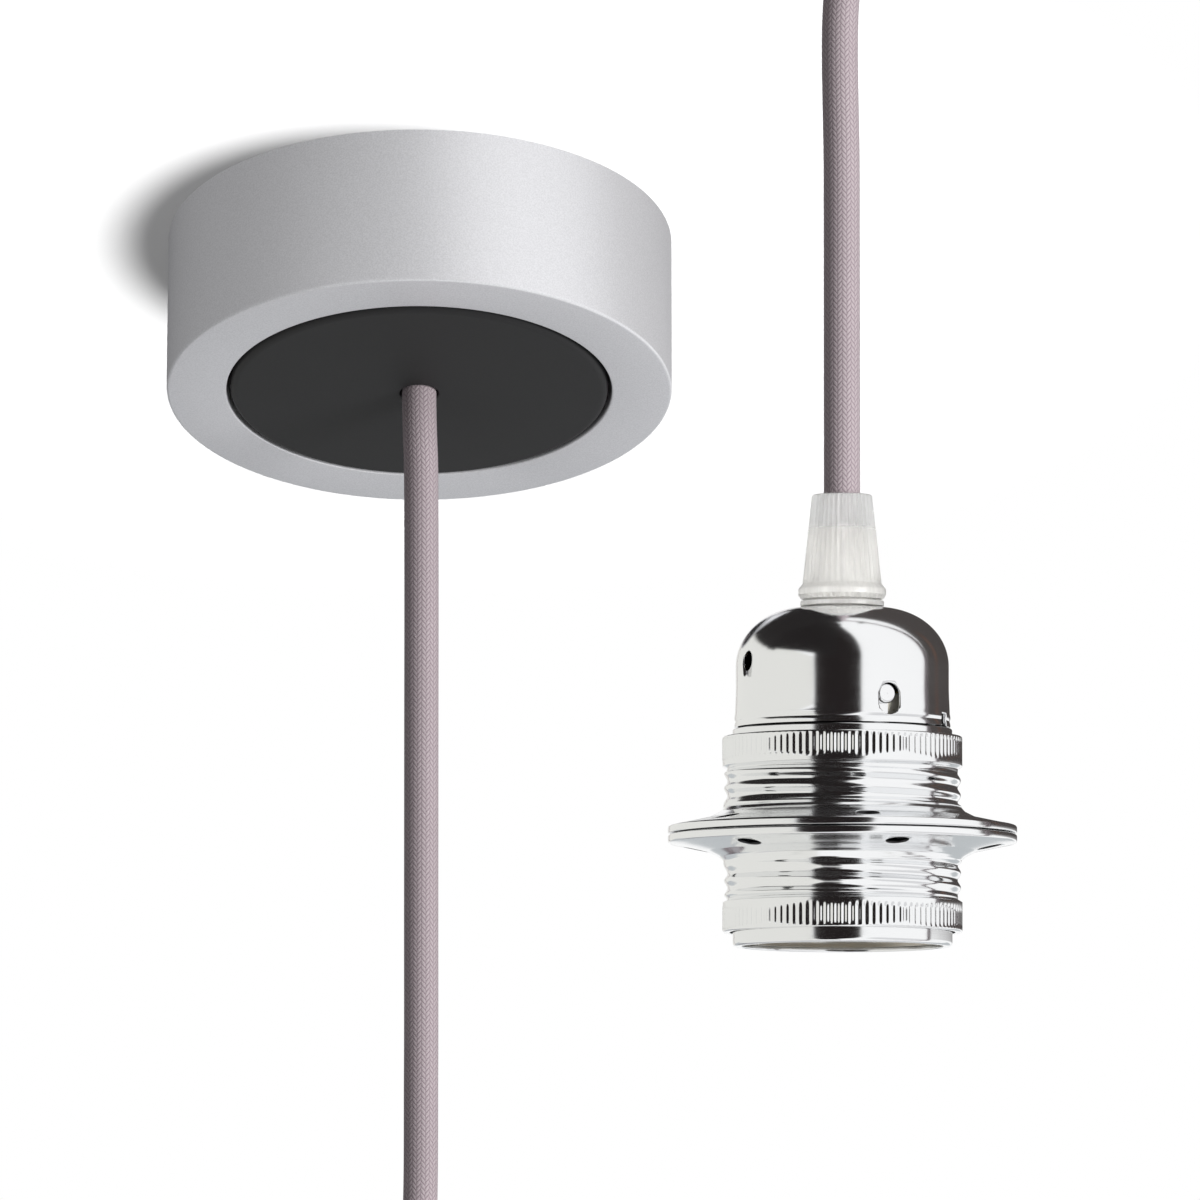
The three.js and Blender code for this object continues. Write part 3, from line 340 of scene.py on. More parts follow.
@finish
def mirror_chrome(tree):
    """Polished chrome on pressed sheet: faint waviness and hairlines."""
    place = tree.place()
    wave = tree.noise(place, 75, 2, 0.5)
    hair = tree.hairs(place, 300, 3500)
    chrome = sizes("holder").chrome
    tree.surface({
        "Base Color": tree.blend(wave, [value * 0.97 for value in chrome], chrome),
        "Metallic": 1.0,
        "Roughness": 0.085 + hair * 0.09,
        "Normal": tree.bump(wave + hair * 0.03, 0.1 * MM, 0.5),
    })


@finish
def dull_chrome(tree):
    """Thin, dull plating on the inner skin of pressed sheet: rougher, as the real plating is, with painted
    shade in its near-black base colour, which darkens the hollows and vents where shade falls.
    """
    place = tree.place()
    cloud = tree.noise(place, 180, 3, 0.6)
    tree.surface({
        "Base Color": tree.blend(cloud, srgb(52, 52, 54), srgb(78, 78, 80)),
        "Metallic": 1.0,
        "Roughness": 0.34 + cloud * 0.14,
        "Normal": tree.bump(cloud, 0.03 * MM, 0.5),
    })


@finish
def zinc_plate(tree):
    """Zinc-plated steel, slightly clouded."""
    place = tree.place()
    cloud = tree.noise(place, 220, 4, 0.6)
    grain = tree.noise(place, 2600, 2)
    tree.surface({
        "Base Color": tree.blend(cloud, srgb(168, 170, 172), srgb(204, 204, 200)),
        "Metallic": 1.0,
        "Roughness": 0.28 + cloud * 0.2,
        "Normal": tree.bump(grain, 0.02 * MM, 0.5),
    })


@finish
def bright_brass(tree):
    """Drawn brass with slight tarnish."""
    place = tree.place()
    cloud = tree.noise(place, 160, 4, 0.6)
    grain = tree.hairs(place, 400, 3000)
    tree.surface({
        "Base Color": tree.blend(cloud, srgb(196, 162, 92), srgb(222, 194, 128)),
        "Metallic": 1.0,
        "Roughness": 0.2 + cloud * 0.15,
        "Normal": tree.bump(grain, 0.02 * MM, 0.4),
    })


@finish
def clear_plastic(tree):
    """Clear moulded plastic, frosted and streaked along its ribs; clearer above the claws."""
    place = tree.place()
    haze = tree.noise(place, 240, 3)
    streak = tree.hairs(place, 1500, 60).steps(0.35, 0.65)
    height = tree.node("SeparateXYZ", {}, {0: place}).other("Z") - SEAM_HEIGHT
    clear = height.steps(51 * MM, 52.6 * MM)
    plastic = sizes("holder").plastic
    frosted = tree.blend(streak, [value * 0.9 for value in plastic], plastic)
    tree.surface({
        "Base Color": tree.blend(clear * 0.5, frosted, srgb(206, 208, 209)),
        "Roughness": 0.3 + haze * 0.06 - clear * 0.16,
        "Transmission Weight": 0.64,
        "IOR": 1.49,
        "Normal": tree.bump(haze, 0.01 * MM, 0.3),
    })


@finish
def white_nylon(tree):
    """White moulded nylon."""
    place = tree.place()
    grain = tree.noise(place, 1500, 3, 0.6)
    tree.surface({
        "Base Color": tree.blend(grain, srgb(222, 219, 211), srgb(234, 232, 226)),
        "Roughness": 0.46 + grain * 0.1,
        "Subsurface Weight": 0.08,
        "Subsurface Scale": 1.2 * MM,
        "Normal": tree.bump(grain, 0.03 * MM, 0.5),
    })


@finish
def glazed_ceramic(tree):
    """Off-white steatite with a thin glaze and small specks."""
    place = tree.place()
    speck = tree.noise(place, 900, 2).steps(0.68, 0.74)
    cloud = tree.noise(place, 120, 3)
    glaze = tree.blend(cloud, srgb(226, 221, 207), srgb(236, 232, 221))
    tree.surface({
        "Base Color": tree.blend(speck * 0.5, glaze, srgb(168, 156, 134)),
        "Roughness": 0.24 + cloud * 0.14,
        "Coat Weight": 0.3,
        "Normal": tree.bump(cloud, 0.05 * MM, 0.5),
    })


@finish
def insulation(tree, name, red, green, blue):
    """Smooth PVC of a core; the earth core's has a yellow stripe."""
    place = tree.place()
    grain = tree.noise(place, 800, 2)
    base = srgb(red, green, blue)
    colour = tree.blend(grain, [value * 0.9 for value in base], base)
    if name == "earth":
        across = tree.node("SeparateXYZ", {}, {0: place})
        stripe = (across.other("Z") * (1 / (5 * MM)) + across * (1 / (3 * MM))).fraction().above(0.55)
        colour = tree.blend(stripe, colour, srgb(214, 190, 48))
    tree.surface({
        "Base Color": colour,
        "Roughness": 0.36 + grain * 0.1,
        "Normal": tree.bump(grain, 0.02 * MM, 0.4),
    })


@finish
def tie_fabric(tree):
    """Black hook-and-loop tape: rows of fine loops."""
    place = tree.place()
    loops = tree.noise(place, 2200, 3, 0.7)
    rows = tree.hairs(place, 500, 2600)
    tree.surface({
        "Base Color": tree.blend(loops, srgb(22, 22, 24), srgb(62, 62, 66)),
        "Roughness": 0.75 + rows * 0.15,
        "Sheen Weight": 0.3,
        "Normal": tree.bump(loops * 0.7 + rows * 0.3, 0.16 * MM, 0.9),
    })


BRAID_COLUMNS = 24


@finish
def textile_braid(tree):
    """Braid of slanted yarn floats in columns that lean left and right by turns, with painted shade darkening
    the grooves between the floats.
    """
    along = tree.node("SeparateXYZ", {}, {0: tree.node("UVMap", {"uv_map": "braid"})})
    column = along.other("Y") * BRAID_COLUMNS
    across = column.fraction()
    side = (column.floor() * 0.5).fraction() * 2
    slant = along + (side * across + (1 - side) * (1 - across)) * 0.85
    crown = ((slant + side * 0.5).fraction() * math.pi).sine()
    shoulder = (across * math.pi).sine().maths("MAXIMUM", 0.001) ** 0.45
    height = (crown.maths("MAXIMUM", 0.001) ** 0.6) * (0.35 + shoulder * 0.65)
    fibre = tree.noise(tree.node("CombineXYZ", {}, {0: slant * 5, 1: column * 1.2}), 1.6, 3, 0.6)
    drift = tree.noise(tree.place(), 60, 3)
    tint = sizes("cord").colour
    # Painted shade: the yarn colour is darkened where the floats dip into the grooves between them
    groove_shade = [value * share for value, share in zip(tint, (0.64, 0.56, 0.62))]
    pale = [min(value * 1.14, 1) for value in tint]
    shade = tree.blend(height.steps(0.1, 0.85), groove_shade, tree.blend(drift, tint, pale))
    tree.surface({
        "Base Color": tree.blend(fibre.steps(0.35, 0.75) * 0.3, shade, [value * 0.6 for value in tint]),
        "Metallic": 0.3,
        "Roughness": 0.48 + fibre * 0.16,
        "Sheen Weight": 0.15,
        "Sheen Roughness": 0.4,
        "Specular IOR Level": 0.3,
        "Normal": tree.bump(height * 0.8 + fibre * 0.2, 0.12 * MM, 0.8),
    })


# Mesh building

def new_piece(name, shape, material, slot=None, replaces=(), place=None, uv=None, sharp=35):
    """Mesh object of a shape's vertices and faces, smooth but at edges above an angle in degrees.

    With a slot it rides on the frame.
    """
    vertices, faces = shape
    if place is not None:
        vertices = moved(vertices, place)
    mesh = bpy.data.meshes.new(name)
    faces = [tuple(int(i) for i in face) for face in faces]
    mesh.from_pydata(np.asarray(vertices, float).tolist(), [], faces)
    if uv is not None:
        layer = mesh.uv_layers.new(name="braid")
        layer.data.foreach_set("uv", np.asarray(uv, np.float32).ravel())
    piece = bpy.data.objects.new(name, mesh)
    bpy.context.scene.collection.objects.link(piece)
    mesh.materials.append(material)
    mesh.polygons.foreach_set("use_smooth", [True] * len(mesh.polygons))
    mesh.set_sharp_from_angle(angle=math.radians(sharp))
    mesh.update()
    if slot:
        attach(piece, "root")
        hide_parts(*replaces)
    return piece


def moved(points, place):
    """Points carried to a place."""
    return np.asarray(points, float) @ np.array(place.to_3x3()).T + np.array(place.translation)


def rounded(outline, steps=5):
    """Closed outline of (r, z, radius) points with its corners rounded to those radii."""
    corners = [Vector((r, z)) for r, z, _ in outline]
    points = []
    for i, (_, _, radius) in enumerate(outline):
        corner = corners[i]
        before = corners[i - 1] - corner
        after = corners[(i + 1) % len(corners)] - corner
        if radius == 0:
            points.append(tuple(corner))
            continue
        angle = before.angle(after)
        reach = min(radius / math.tan(angle / 2), 0.49 * before.length, 0.49 * after.length)
        start = corner + before.normalized() * reach
        end = corner + after.normalized() * reach
        for step in range(steps + 1):
            t = step / steps
            points.append(tuple(start * (1 - t) ** 2 + corner * (2 * t * (1 - t)) + end * t ** 2))
    return points


def dense(points, spacing):
    """Closed line with points added; spacing gives the widest gap after a point, from it and the next."""
    filled = []
    for point, following in zip(points, [*points[1:], points[0]]):
        count = max(1, math.ceil(math.dist(point, following) / spacing(point, following)))
        for step in range(count):
            t = step / count
            filled.append(tuple(a + (b - a) * t for a, b in zip(point, following)))
    return filled


def turned(outline, segments, warp=None):
    """Closed outline of (r, z) points turned round the Z axis; warp moves each radius by angle and height."""
    profile = np.array(outline)
    if np.sum(profile[:, 0] * np.roll(profile[:, 1], -1) - np.roll(profile[:, 0], -1) * profile[:, 1]) < 0:
        profile = profile[::-1]
    angles = np.arange(segments) * TURN / segments
    radii = np.repeat(profile[None, :, 0], segments, axis=0)
    heights = np.repeat(profile[None, :, 1], segments, axis=0)
    if warp is not None:
        radii = warp(angles[:, None], radii, heights)
    vertices = np.stack(
        [radii * np.cos(angles)[:, None], radii * np.sin(angles)[:, None], heights], axis=2
    ).reshape(-1, 3)
    return vertices, grid_faces(segments, len(profile), True, True)


def grid_faces(rows, columns, rows_close, columns_close):
    """Quads of a grid of vertices, closed on itself along either way."""
    down = np.arange(rows if rows_close else rows - 1)
    across = np.arange(columns if columns_close else columns - 1)
    i, j = np.meshgrid(down, across, indexing="ij")
    below, right = (i + 1) % rows, (j + 1) % columns
    corners = [i * columns + j, below * columns + j, below * columns + right, i * columns + right]
    return np.stack(corners, axis=2).reshape(-1, 4)


def smooth_line(points, spacing):
    """Points a given distance apart along a centripetal curve through the given ones."""
    given = [Vector(point) for point in points]
    given = [given[0] * 2 - given[1], *given, given[-1] * 2 - given[-2]]
    dense_line = []
    for a, b, c, d in zip(given, given[1:], given[2:], given[3:]):
        knots = np.cumsum([0, *((q - p).length ** 0.5 for p, q in ((a, b), (b, c), (c, d)))])
        for t in np.linspace(knots[1], knots[2], 24, endpoint=False):
            def lerp(p, q, i, j):
                gap = knots[j] - knots[i]
                return p * ((knots[j] - t) / gap) + q * ((t - knots[i]) / gap)

            ab, bc, cd = lerp(a, b, 0, 1), lerp(b, c, 1, 2), lerp(c, d, 2, 3)
            dense_line.append(lerp(lerp(ab, bc, 0, 2), lerp(bc, cd, 1, 3), 1, 2))
    dense_line.append(given[-2])
    line = np.array([tuple(point) for point in dense_line])
    reach = np.concatenate([[0], np.cumsum(np.linalg.norm(np.diff(line, axis=0), axis=1))])
    places = np.linspace(0, reach[-1], max(2, round(reach[-1] / spacing) + 1))
    return np.stack([np.interp(places, reach, line[:, axis]) for axis in range(3)], axis=1), places


def swept(line, section):
    """Rings of a section of (sideways, upward) points carried along a line without twist."""
    ahead = np.gradient(line, axis=0)
    ahead /= np.linalg.norm(ahead, axis=1)[:, None]
    side = np.cross(ahead[0], (0.3, 0.2, 1.0) if abs(ahead[0][2]) < 0.9 else (1.0, 0.0, 0.0))
    rings = []
    for centre, direction in zip(line, ahead):
        side = side - direction * np.dot(side, direction)
        side /= np.linalg.norm(side)
        up = np.cross(direction, side)
        rings.append(centre + section[:, :1] * side + section[:, 1:] * up)
    return np.array(rings)


def circle(radius, sides):
    angles = np.arange(sides) * TURN / sides
    return np.stack([radius * np.cos(angles), radius * np.sin(angles)], axis=1)


def capped_tube(line, radius, sides):
    """Closed tube along a line, with flat ends."""
    vertices = swept(line, circle(radius, sides)).reshape(-1, 3)
    faces = [tuple(face[::-1]) for face in grid_faces(len(line), sides, False, True)]
    faces += [tuple(range(sides))[::-1], tuple(range(len(vertices) - sides, len(vertices)))]
    return vertices, faces


def cut_by(piece, cutters):
    """Takes the cutters' shapes out of a piece and deletes them."""
    for cutter in cutters:
        modifier = piece.modifiers.new("cut", "BOOLEAN")
        modifier.operation = "DIFFERENCE"
        modifier.solver = "EXACT"
        modifier.object = cutter
    graph = bpy.context.evaluated_depsgraph_get()
    result = bpy.data.meshes.new_from_object(piece.evaluated_get(graph), depsgraph=graph)
    piece.modifiers.clear()
    piece.data = result
    for cutter in cutters:
        bpy.data.objects.remove(cutter)
    return piece


def prism(outline, start, end):
    """Straight prism of an (x, y) outline between two heights."""
    count = len(outline)
    vertices = [(x, y, z) for z in (start, end) for x, y in outline]
    faces = [(i, (i + 1) % count, count + (i + 1) % count, count + i) for i in range(count)]
    faces += [tuple(range(count))[::-1], tuple(range(count, 2 * count))]
    return vertices, faces


def cutter(outline, start, end, place):
    """Prism to cut with."""
    return new_piece("cutter", prism(outline, start, end), None, place=place)


def rectangle(low, high, half):
    """Outline from low to high along x and as far as half to each side of it."""
    return in_mm([(low, -half), (high, -half), (high, half), (low, half)])


def sheet(line, wall):
    """Closed outline of a sheet of even thickness on the inner side of a line of (r, z) points."""
    points = np.array(line)
    ahead = np.gradient(points, axis=0)
    ahead /= np.linalg.norm(ahead, axis=1)[:, None]
    inward = np.stack([ahead[:, 1], -ahead[:, 0]], axis=1)
    return [*line, *[tuple(point) for point in (points + inward * wall)[::-1]]]


def curve(centre_r, centre_z, radius_r, radius_z, start, end, steps):
    """Points of an elliptical arc of an outline, angles in degrees from +r towards +z."""
    angles = np.radians(np.linspace(start, end, steps + 1))
    return [(centre_r + radius_r * math.cos(a), centre_z + radius_z * math.sin(a)) for a in angles]


def merged(*parts):
    """Vertices and faces of several closed shapes as one."""
    vertices, faces = [], []
    for points, quads in parts:
        faces += [tuple(int(i) + len(vertices) for i in face) for face in quads]
        vertices += [tuple(point) for point in points]
    return vertices, faces


# Cord

CANOPY_LEG = Vector((0, -13.7)) * MM
HOOK_LEG = Vector((140, -170)) * MM
COIL_START = math.radians(26.88)
COIL_ANGLE = math.radians(1233.1)
COIL_STEP = math.radians(5)

# Points of the cord in millimetres, from inside the canopy to the coil and from the coil to the grip
CANOPY_ROUTE = in_mm([
    (0, -2.88, -7.5), (0, -6.45, -16.8), (0, -10.63, -27.7), (0.02, -11.82, -30.8), (0.1, -12.86, -34.1),
    (0.22, -13.5, -37.4), (0.35, -13.7, -41), (0.45, -13.7, -60), (0.45, -13.7, -90), (0.45, -13.7, -120),
    (0.45, -13.7, -150), (0.2, -13.7, -175.2), (-0.4, -13.3, -180.6), (-1.5, -12, -185.8),
    (-3, -10.4, -189.7), (-5.1, -8, -193.6),
])
HOLDER_ROUTE = in_mm([
    (28.6, -12.2, -259.75), (46, -33.5, -262), (63, -56.5, -264.5), (80, -81, -265.5), (96, -105, -264),
    (111, -127.5, -258), (123.5, -146, -246.5), (133, -160, -230.5), (138.5, -168, -212),
    (140, -170, -193), (140, -170, -170), (140, -170, -120), (140, -170, -70), (140, -170, -20),
    (140, -170, 25), (138, -170, 36.5), (130.2, -170, 48.7), (119.3, -170, 56), (106.5, -170, 58.5),
    (93.7, -170, 56), (82.8, -170, 48.7), (75, -170, 36.5), (73, -170, 25), (73, -170, -5),
    (73, -170, -35), (73, -170, -59), (73, -170, -82.5),
])


def coil_layout():
    """Centre of the coil's first turn, its sideways direction, and how far it runs along its axis.

    It hangs in the upright plane between the two plumb legs.
    """
    size = sizes("cord")
    across = (HOOK_LEG - CANOPY_LEG).normalized()
    drift = Vector((-across.y, across.x, 0)) * (size.coil_pitch * COIL_ANGLE / TURN)
    return Vector((*CANOPY_LEG, size.coil_height)), Vector((*across, 0)), drift


def coil_points():
    size = sizes("cord")
    centre, across, drift = coil_layout()
    points = []
    for step in range(round(COIL_ANGLE / COIL_STEP) + 1):
        angle = min(step * COIL_STEP, COIL_ANGLE)
        turn = COIL_START + angle
        points.append(
            centre - across * size.coil_radius * math.sin(turn)
            + Vector((0, 0, size.coil_radius * math.cos(turn))) + drift * angle / COIL_ANGLE
        )
    return points


def build_cord():
    size = sizes("cord")
    sides = 24
    line, along = smooth_line([*CANOPY_ROUTE, *coil_points(), *HOLDER_ROUTE], 0.6 * MM)
    along = along / size.plait_pitch
    texture = []
    for ring in range(len(line) - 1):
        for place in range(sides):
            start, end = along[ring:ring + 2]
            near, far = place / sides, (place + 1) / sides
            texture += [(start, far), (end, far), (end, near), (start, near)]
    texture += [(0, 0)] * (2 * sides)
    cord = new_piece(
        "braided_cord", capped_tube(line, size.diameter / 2, sides), textile_braid(),
        "mauve_textile_braid", ["cord_canopy_drop", "cord_coil", "cord_holder_run"], uv=texture, sharp=60,
    )
    line[::4].tolist() + [line[-1].tolist()]


def build_coil_tie(side, number):
    """Strap once round the bundle of turns, with its tail on top of itself."""
    size = sizes("cord")
    centre, across, drift = coil_layout()
    centre += across * side * size.coil_radius + drift / 2
    axis = drift.normalized()
    half_r = size.diameter / 2 + 0.2 * MM
    half_a = drift.length / 2 + half_r
    corner = half_r * 0.95
    half_t, half_w = size.tie_thickness * 0.45, size.tie_width / 2
    rim = half_t * 0.5
    section = [
        (-half_t, -half_w + rim), (-half_t, half_w - rim), (-half_t + rim, half_w),
        (half_t - rim, half_w), (half_t, half_w - rim), (half_t, -half_w + rim),
        (half_t - rim, -half_w), (-half_t + rim, -half_w),
    ]
    count = len(section)
    loop = []
    for quarter, (sign_r, sign_a) in enumerate(((1, 1), (-1, 1), (-1, -1), (1, -1))):
        for step in range(9):
            angle = math.pi / 2 * (quarter + step / 8)
            loop.append((
                sign_r * (half_r - corner) + corner * math.cos(angle),
                sign_a * (half_a - corner) + corner * math.sin(angle), angle,
            ))
    loop += [(r, a, angle + TURN) for r, a, angle in loop[:14]]
    rings = []
    for r, a, angle in loop:
        lift = size.tie_thickness * (0.55 + min(max((angle - TURN * 0.8) / (TURN * 0.2), 0), 1) * 1.05)
        away = across * side * math.cos(angle) + axis * math.sin(angle)
        middle = centre + across * side * r + axis * a + away * lift
        rings += [middle + away * t + Vector((0, 0, w)) for t, w in section]
    faces = [tuple(face) for face in grid_faces(len(loop), count, False, True)]
    faces += [tuple(range(count)), tuple(range(len(rings) - count, len(rings)))[::-1]]
    if side > 0:
        faces = [face[::-1] for face in faces]
    new_piece(
        f"coil_strap_{number}", (rings, faces), tie_fabric(), "black_woven_tape", [f"coil_tie_{number}"],
        sharp=40,
    )


# Canopy

CORD_BORE = 3.45 * MM
STEM_RADIUS = 5 * MM
PILLAR_SPACING = 50 * MM


def build_canopy_cup():
    size = sizes("canopy")
    inner = size.radius - size.wall
    recess = size.radius - size.ring_width
    face = -size.depth
    floor = face + size.recess
    bore = STEM_RADIUS + 0.35 * MM
    edge = 0.35 * MM
    outline = rounded([
        (inner, 0, 0), (size.radius, 0, edge), (size.radius, face, 1.6 * edge), (recess, face, edge),
        (recess, floor, edge), (bore, floor, 0), (bore, floor + size.wall, 0),
        (recess + size.wall, floor + size.wall, edge), (recess + size.wall, face + size.wall, edge),
        (inner, face + size.wall, 2 * edge),
    ])
    cup = new_piece(
        "canopy_shell", turned(outline, 192), satin_aluminium(), "satin_aluminium", ["canopy_cup"],
        CANOPY_PLACE,
    )
    hole = circle(2.15 * MM, 24)
    cut_by(cup, [
        cutter(hole + (side * PILLAR_SPACING / 2, 0), floor - MM, floor + 3 * MM, CANOPY_PLACE)
        for side in (-1, 1)
    ])


def build_cover_disc():
    size = sizes("canopy")
    radius = size.radius - size.ring_width - size.disc_gap
    face = -size.depth + size.disc_setback
    back = face + size.disc_thickness
    boss = -size.depth + size.recess - 0.3 * MM
    stem = boss + 8.5 * MM
    outline = rounded([
        (CORD_BORE, stem, 0), (CORD_BORE, face, 0.35 * MM), (radius, face, 1.4 * MM),
        (radius, back, 0.2 * MM), (9 * MM, back, 0.2 * MM), (9 * MM, boss, 0.3 * MM),
        (STEM_RADIUS, boss, 0), (STEM_RADIUS, stem, 0.4 * MM),
    ], 8)
    new_piece(
        "black_disc", turned(outline, 192), black_paint(), "black_matt_paint", ["cover_disc"], CANOPY_PLACE
    )


# Lamp holder, heights from the seam between the shade rings

VENT_COUNT = 6
UPPER_VENTS = math.radians(9)
LOWER_VENTS = math.radians(-20.7)
THREAD_CREST_HEIGHT = 9.65 * MM
DOME_VENT_TURN = math.radians(-64)
DOME_NOTCH_TURN = math.radians(70)
GRIP_BASE = 42.2 * MM
CATCH_TURN = math.radians(25.3)
CATCH_HEIGHT = 21.9 * MM


def wave(value):
    """Between 0 and 1, once for each whole number."""
    return 0.5 - 0.5 * np.cos(TURN * value)


def window(value, low, high, edge):
    """1 between low and high, with soft ends."""
    rise = np.clip((value - low) / edge, 0, 1)
    fall = np.clip((high - value) / edge, 0, 1)
    return rise * rise * (3 - 2 * rise) * fall * fall * (3 - 2 * fall)


def outward(turn):
    """Place of a tool that points out of the holder's wall at an angle from the front."""
    return HOLDER_PLACE @ Matrix.Rotation(turn - math.pi / 2, 4, "Z") @ Matrix.Rotation(math.pi / 2, 4, "Y")


def shade_ring_shape():
    size = sizes("holder")
    collar, top, root = size.collar_radius, size.ring_height, size.thread_root
    knurl_top = top - 0.35 * MM
    knurl_bottom = knurl_top - size.knurl_height
    band = knurl_bottom - 1.2 * MM
    rim = size.flange_radius
    outline = [
        (18.95, 16.5, 0.12), (collar / MM, top / MM, 0.4), (collar / MM, band / MM, 0.15),
        (root / MM, band / MM - 0.45, 0.2), (root / MM, 5.2, 0.7), (20.7, 3.75, 1.2), (22.6, 2.8, 1.6),
        (rim / MM - 1.9, 1.75, 1), (rim / MM, 1.4, 0.45), (rim / MM, 0.1, 0.3), (rim / MM - 2.1, 0.1, 0.1),
        (rim / MM - 2.4, 1.15, 0.3), (22.3, 2.15, 0.6), (20, 3.3, 0.5), (18.85, 4.9, 0.4),
        (18.85, band / MM - 0.4, 0.2), (19.35, band / MM + 0.3, 0.2), (19.35, 15.9, 0.3), (18.95, 15.9, 0),
    ]

    def spacing(point, following):
        if min(point[0], following[0]) <= root - 0.01 * MM or point[1] <= 4.3 * MM:
            return 3 * MM
        return 0.45 * MM if point[1] > band else 0.2 * MM

    def warp(angles, radii, heights):
        teeth = wave(size.knurl_teeth * angles / TURN)
        outer = radii > root - 0.02 * MM
        knurl = window(heights, knurl_bottom, knurl_top, 0.2 * MM) * (radii > collar - 0.2 * MM)
        front = (angles + math.pi / 2) / TURN
        helix = 1 - wave((heights - THREAD_CREST_HEIGHT) / size.thread_pitch + front)
        rolled = window(heights, 4.1 * MM, band - 0.35 * MM, 0.9 * MM) * (radii < collar - 0.2 * MM) * outer
        return radii - size.knurl_depth * teeth * knurl + (size.thread_crest - root) * helix * rolled

    return turned(dense(rounded(in_mm(outline), 4), spacing), 6 * size.knurl_teeth, warp)


def build_shade_rings():
    size = sizes("holder")
    shape = shade_ring_shape()
    hole = circle(2 * MM, 28)
    reach = size.flange_radius - 4.4 * MM
    rings = ("upper", HOLDER_PLACE, UPPER_VENTS), ("lower", HOLDER_PLACE @ FLIP, LOWER_VENTS)
    for name, place, turn in rings:
        ring = new_piece(
            f"{name}_threaded_ring", shape, mirror_chrome(), "polished_chrome", [f"{name}_shade_ring"],
            place, sharp=60,
        )
        tools = []
        for vent in range(VENT_COUNT):
            angle = turn + TURN * vent / VENT_COUNT - math.pi / 2
            centre = (reach * math.cos(angle), reach * math.sin(angle))
            tools.append(cutter(hole + centre, 0.3 * MM, 5 * MM, place))
        dull_inside(cut_by(ring, tools), size.flange_radius - 2.2 * MM)


def dull_inside(piece, rim=0):
    """Dull plating with painted shade on faces that look at the holder's axis, or within the rim at the
    seam's plane, where shade falls inside and between the rings.
    """
    mesh = piece.data
    mesh.materials.append(dull_chrome())
    for face in mesh.polygons:
        from_axis = (face.center - HOLDER_PLACE.translation) * Vector((1, 1, 0))
        height = face.center.z - SEAM_HEIGHT
        inward = face.normal.dot(from_axis.normalized()) < -0.3
        in_flange = from_axis.length < rim and abs(height) < 4.5 * MM
        under = face.normal.z * height < 0 and abs(face.normal.z) > 0.3 and face.normal.dot(from_axis) <= 0
        punched = abs(face.normal.z) < 0.2 and from_axis.length > 21.2 * MM
        if inward or (in_flange and (under or punched)):
            face.material_index = 1


# Flare and beads at the dome's foot in millimetres: out from its wall, and height
DOME_FOOT = in_mm([
    (0, 25), (0.01, 24), (0.04, 23), (0.09, 22), (0.13, 21), (0.15, 20.3), (0.22, 19.95), (0.26, 19.6),
    (0.2, 19.25), (0.1, 19), (0.2, 18.7), (0.25, 18.4), (0.25, 18),
])


def build_dome():
    size = sizes("holder")
    radius, top = size.dome_radius, size.dome_top
    reach, rise = 11.2 * MM, 9.8 * MM
    line = [(5.25 * MM, top), *curve(radius - reach, top - rise, reach, rise, 90, 0, 36)]
    line += [(radius + out, height) for out, height in DOME_FOOT]
    dome = new_piece(
        "holder_cap", turned(sheet(line, size.sheet), 200), mirror_chrome(), "polished_chrome",
        ["holder_dome"], HOLDER_PLACE, sharp=40,
    )
    end_radius, straight = 1.95 * MM, 0.75 * MM
    slot = [
        point for centre, start in ((straight, -90), (-straight, 90))
        for point in curve(centre - CATCH_HEIGHT, 0, end_radius, end_radius, start, start + 180, 15)
    ]
    vent = circle(1.75 * MM, 32) + (-28.8 * MM, 0)
    cut_by(dome, [
        cutter(slot, 12 * MM, 22 * MM, outward(CATCH_TURN)),
        cutter(vent, 10 * MM, 22 * MM, outward(DOME_VENT_TURN)),
        cutter(rectangle(-20, -17, 1.2), 14 * MM, 22 * MM, outward(DOME_NOTCH_TURN)),
    ])
    dull_inside(dome)


def build_catch():
    """Spring tongue behind the cap's window, with its round head."""
    back, front = 16.1, 17.6
    middle = -CATCH_HEIGHT / MM
    head = rounded(in_mm([(0.05, back, 0), (1.7, back, 0), (1.7, front, 0.6), (0.05, front, 0)]), 8)
    spin, quads = turned(head, 40)
    tongue = rounded(in_mm([
        (middle - 2.7, -1.8, 0.5), (middle + 2.9, -1.8, 0.1), (middle + 2.9, 0.5, 0.1),
        (middle - 2.7, 0.5, 0.5),
    ]))
    shape = merged(
        (spin + np.array((middle - 0.9, -0.25, 0)) * MM, quads),
        prism(tongue, (back - 0.2) * MM, (back + 0.2) * MM),
    )
    new_piece(
        "spring_catch", shape, mirror_chrome(), "polished_chrome", ["dome_catch"], outward(CATCH_TURN)
    )


def build_sleeve():
    size = sizes("holder")
    radius, bottom = size.sleeve_radius / MM, size.sleeve_bottom / MM
    corners = [
        (16.9, 24, 0), (16.9, 18, 0.3), (radius, 17.7, 0.3), (radius, bottom, 0.75), (17, bottom, 0.2),
        (17, bottom + 0.6, 0), (radius - 0.7, bottom + 0.75, 0.2), (radius - 0.7, 17.05, 0.2),
        (16.2, 17.3, 0.2), (16.2, 24, 0),
    ]
    sleeve = new_piece(
        "holder_sleeve", turned(rounded(in_mm(corners)), 160), mirror_chrome(), "polished_chrome",
        ["threaded_sleeve"], HOLDER_PLACE,
    )
    cut_by(sleeve, [cutter(rectangle(-25, -18.5, 2.95), 14 * MM, 22 * MM, outward(CATCH_TURN))])


